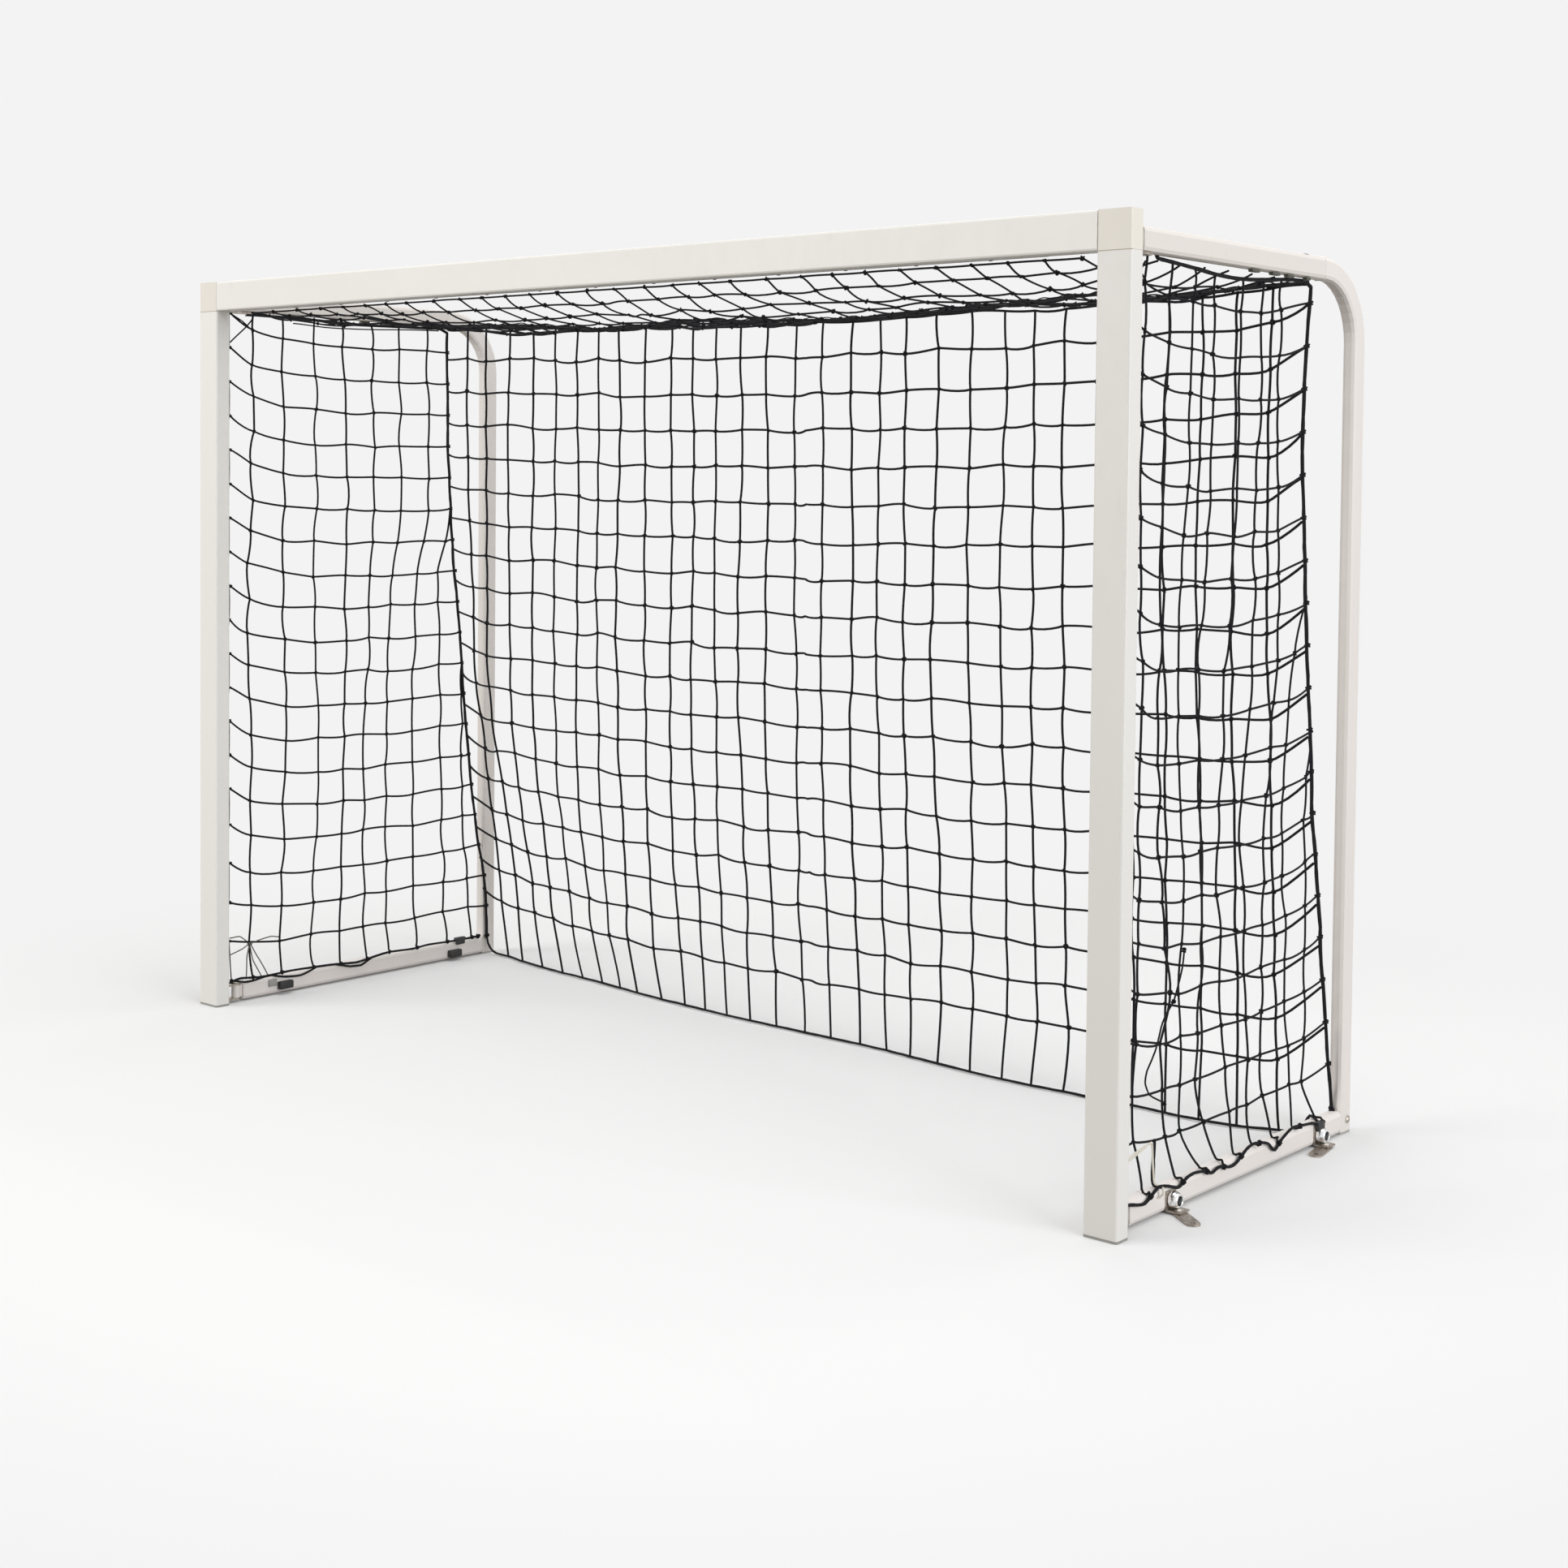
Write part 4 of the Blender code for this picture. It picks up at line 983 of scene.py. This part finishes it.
def build_arm_fittings(tag, s):
    body = f"side_frame_{tag}"
    clips = []
    for y, length in ((0.443, 0.026), (0.514, 0.026), (0.566, 0.022), (0.630, 0.014)):
        clips.append(block((0.010, length, 0.0055), at(s * (HINGE_X + 0.0075), y, ARM_LOW - 0.0026), 0.0012))
    bm_piece(f"arm_clips_{tag}", joined(*clips), CLIP_PLASTIC_AND_SLOT_SHADE, body)
    # The slot in the arm's top is a thin dark plate with a round end: painted shade for the opening
    place = at(s * (HINGE_X + 0.005), SLOT_Y, ARM_MID + TUBE_HALF_Z)
    slot = joined(block((0.0050, 0.017, 0.0005), place, 0.0001), turned(0.0035, 0.0035, 0.0008, place))
    bm_piece(f"arm_slot_{tag}", slot, CLIP_PLASTIC_AND_SLOT_SHADE, body)
    seam = [(s * HINGE_X + across, depth(SEAM_Y), ARM_MID + up)
            for across, up in rounded_ring(TUBE_HALF_X, TUBE_HALF_Z, 0.008, 32)]
    piece(f"arm_seam_{tag}", sweep([seam], 0.0014, 8), WELD, body)


def build_corner_fittings(tag, s):
    # A thin ring of painted shade round the top of each post, at the gap under the corner
    joint = [(s * POST_X + across, depth(POST_HALF[1]) + back, POST_TOP)
             for across, back in rounded_ring(*POST_HALF, 0.004, 40)]
    piece(f"corner_joint_{tag}", sweep([joint], 0.0007, 6), GAP_SHADE_STRIP, "goal_frame")
    screws = []
    for z in (1.6150, 0.0360, 0.0120):
        for side in (-1, 1):
            place = at(s * HINGE_X + side * 0.0095, 0.0413, z, "Y")
            screws.append(turned(0.0030, 0.0022, 0.0016, place, 24, 0.0003))
    bm_piece(f"bracket_screws_{tag}", joined(*screws), BRIGHT, "goal_frame")


for tag, s in SIDES.items():
    build_rail_fittings(tag, s)
    build_arm_fittings(tag, s)
    build_corner_fittings(tag, s)

# Floor, light and camera
BACK = 0.896
AMBIENT = 0.48
WARM = (1.0, 0.976, 0.956)
FLOOR_SEEN = (0.848, 0.863, 0.875)
FLOOR_BOUNCE = (0.20, 0.18, 0.16)


def greater(nodes, links, a, b):
    node = place_node(nodes, "ShaderNodeMath", operation="MAXIMUM")
    links.new(a, node.inputs[0])
    links.new(b, node.inputs[1])
    return node.outputs[0]


def seeing_ray(nodes, links, path):
    """1 for a camera, glossy or transmission ray, and 0 for one that only lights."""
    direct = greater(nodes, links, path.outputs["Is Camera Ray"], path.outputs["Is Glossy Ray"])
    return greater(nodes, links, direct, path.outputs["Is Transmission Ray"])


def build_stage():
    bm = bmesh.new()
    bmesh.ops.create_grid(bm, x_segments=2, y_segments=2, size=40)
    data = bpy.data.meshes.new("studio_floor")
    bm.to_mesh(data)
    bm.free()
    floor = bpy.data.objects.new("studio_floor", data)
    floor.location = (0, 0, -0.0002)
    bpy.context.scene.collection.objects.link(floor)
    mat, nodes, links, shader = new_material("studio_floor")
    shader.inputs["Roughness"].default_value = 0.9
    shader.inputs["Specular IOR Level"].default_value = 0.0
    path = nodes.new("ShaderNodeLightPath")
    tone = nodes.new("ShaderNodeMix")
    tone.data_type = "RGBA"
    tone.inputs["A"].default_value = (*FLOOR_SEEN, 1)
    tone.inputs["B"].default_value = (*FLOOR_BOUNCE, 1)
    links.new(path.outputs["Is Diffuse Ray"], tone.inputs["Factor"])
    links.new(tone.outputs["Result"], shader.inputs["Base Color"])
    plain = place_node(nodes, "ShaderNodeEmission", Color=(BACK, BACK, BACK, 1), Strength=1.0)
    where = nodes.new("ShaderNodeNewGeometry")
    dist = place_node(nodes, "ShaderNodeVectorMath", operation="LENGTH")
    links.new(where.outputs["Position"], dist.inputs[0])
    fade = place_node(nodes, "ShaderNodeMapRange")
    fade.interpolation_type = "SMOOTHSTEP"
    fade.inputs["From Min"].default_value = 1.5
    fade.inputs["From Max"].default_value = 2.6
    links.new(dist.outputs["Value"], fade.inputs["Value"])
    share = place_node(nodes, "ShaderNodeMath", operation="MULTIPLY")
    links.new(seeing_ray(nodes, links, path), share.inputs[0])
    links.new(fade.outputs["Result"], share.inputs[1])
    mix = nodes.new("ShaderNodeMixShader")
    links.new(share.outputs[0], mix.inputs["Fac"])
    links.new(shader.outputs["BSDF"], mix.inputs[1])
    links.new(plain.outputs["Emission"], mix.inputs[2])
    links.new(mix.outputs["Shader"], nodes["Material Output"].inputs["Surface"])
    data.materials.append(mat)


def build_world():
    world = bpy.data.worlds.new("studio")
    bpy.context.scene.world = world
    world.use_nodes = True
    nodes, links = world.node_tree.nodes, world.node_tree.links
    lit = nodes["Background"]
    lit.inputs["Color"].default_value = (*WARM, 1)
    lit.inputs["Strength"].default_value = AMBIENT
    seen = nodes.new("ShaderNodeBackground")
    seen.inputs["Color"].default_value = (BACK, BACK, BACK, 1)
    seen.inputs["Strength"].default_value = 1.0
    path = nodes.new("ShaderNodeLightPath")
    mix = nodes.new("ShaderNodeMixShader")
    links.new(seeing_ray(nodes, links, path), mix.inputs["Fac"])
    links.new(lit.outputs["Background"], mix.inputs[1])
    links.new(seen.outputs["Background"], mix.inputs[2])
    links.new(mix.outputs["Shader"], nodes["World Output"].inputs["Surface"])


def area_light(name, place, target, size, power, colour):
    data = bpy.data.lights.new(name, "AREA")
    data.size = size
    data.energy = power
    data.color = colour
    obj = bpy.data.objects.new(name, data)
    obj.location = place
    obj.rotation_euler = (Vector(target) - Vector(place)).to_track_quat("-Z", "Y").to_euler()
    bpy.context.scene.collection.objects.link(obj)


def build_camera():
    yaw, pitch, roll = -0.693895, -0.037613, 0.010856
    forward = Vector((math.sin(yaw) * math.cos(pitch), math.cos(yaw) * math.cos(pitch), math.sin(pitch)))
    right = Vector((math.cos(yaw), -math.sin(yaw), 0))
    up = right.cross(forward)
    x_axis = right * math.cos(roll) + up * math.sin(roll)
    y_axis = up * math.cos(roll) - right * math.sin(roll)
    data = bpy.data.cameras.new("photo_camera")
    data.sensor_width = 36
    data.lens = 52.311
    data.shift_x = -0.04755
    data.shift_y = -0.13668
    data.clip_end = 200
    camera = bpy.data.objects.new("photo_camera", data)
    turn = Matrix((x_axis, y_axis, -forward)).transposed()
    camera.matrix_world = Matrix.Translation((3.259316, -3.489744, 1.222097)) @ turn.to_4x4()
    bpy.context.scene.collection.objects.link(camera)
    bpy.context.scene.camera = camera


build_stage()
build_world()
build_camera()
area_light("key_right", (11.0, -1.2, 3.4), (0, 0, 0.8), 7.0, 770, (1.0, 1.01, 1.02))
area_light("fill_front_left", (-7.0, -10.0, 3.6), (0, 0, 0.8), 7.0, 840, WARM)
area_light("top", (0, 0.5, 9.0), (0, 0, 0), 6.0, 340, WARM)
bpy.context.scene.view_settings.view_transform = "Standard"

bpy.context.view_layer.update()
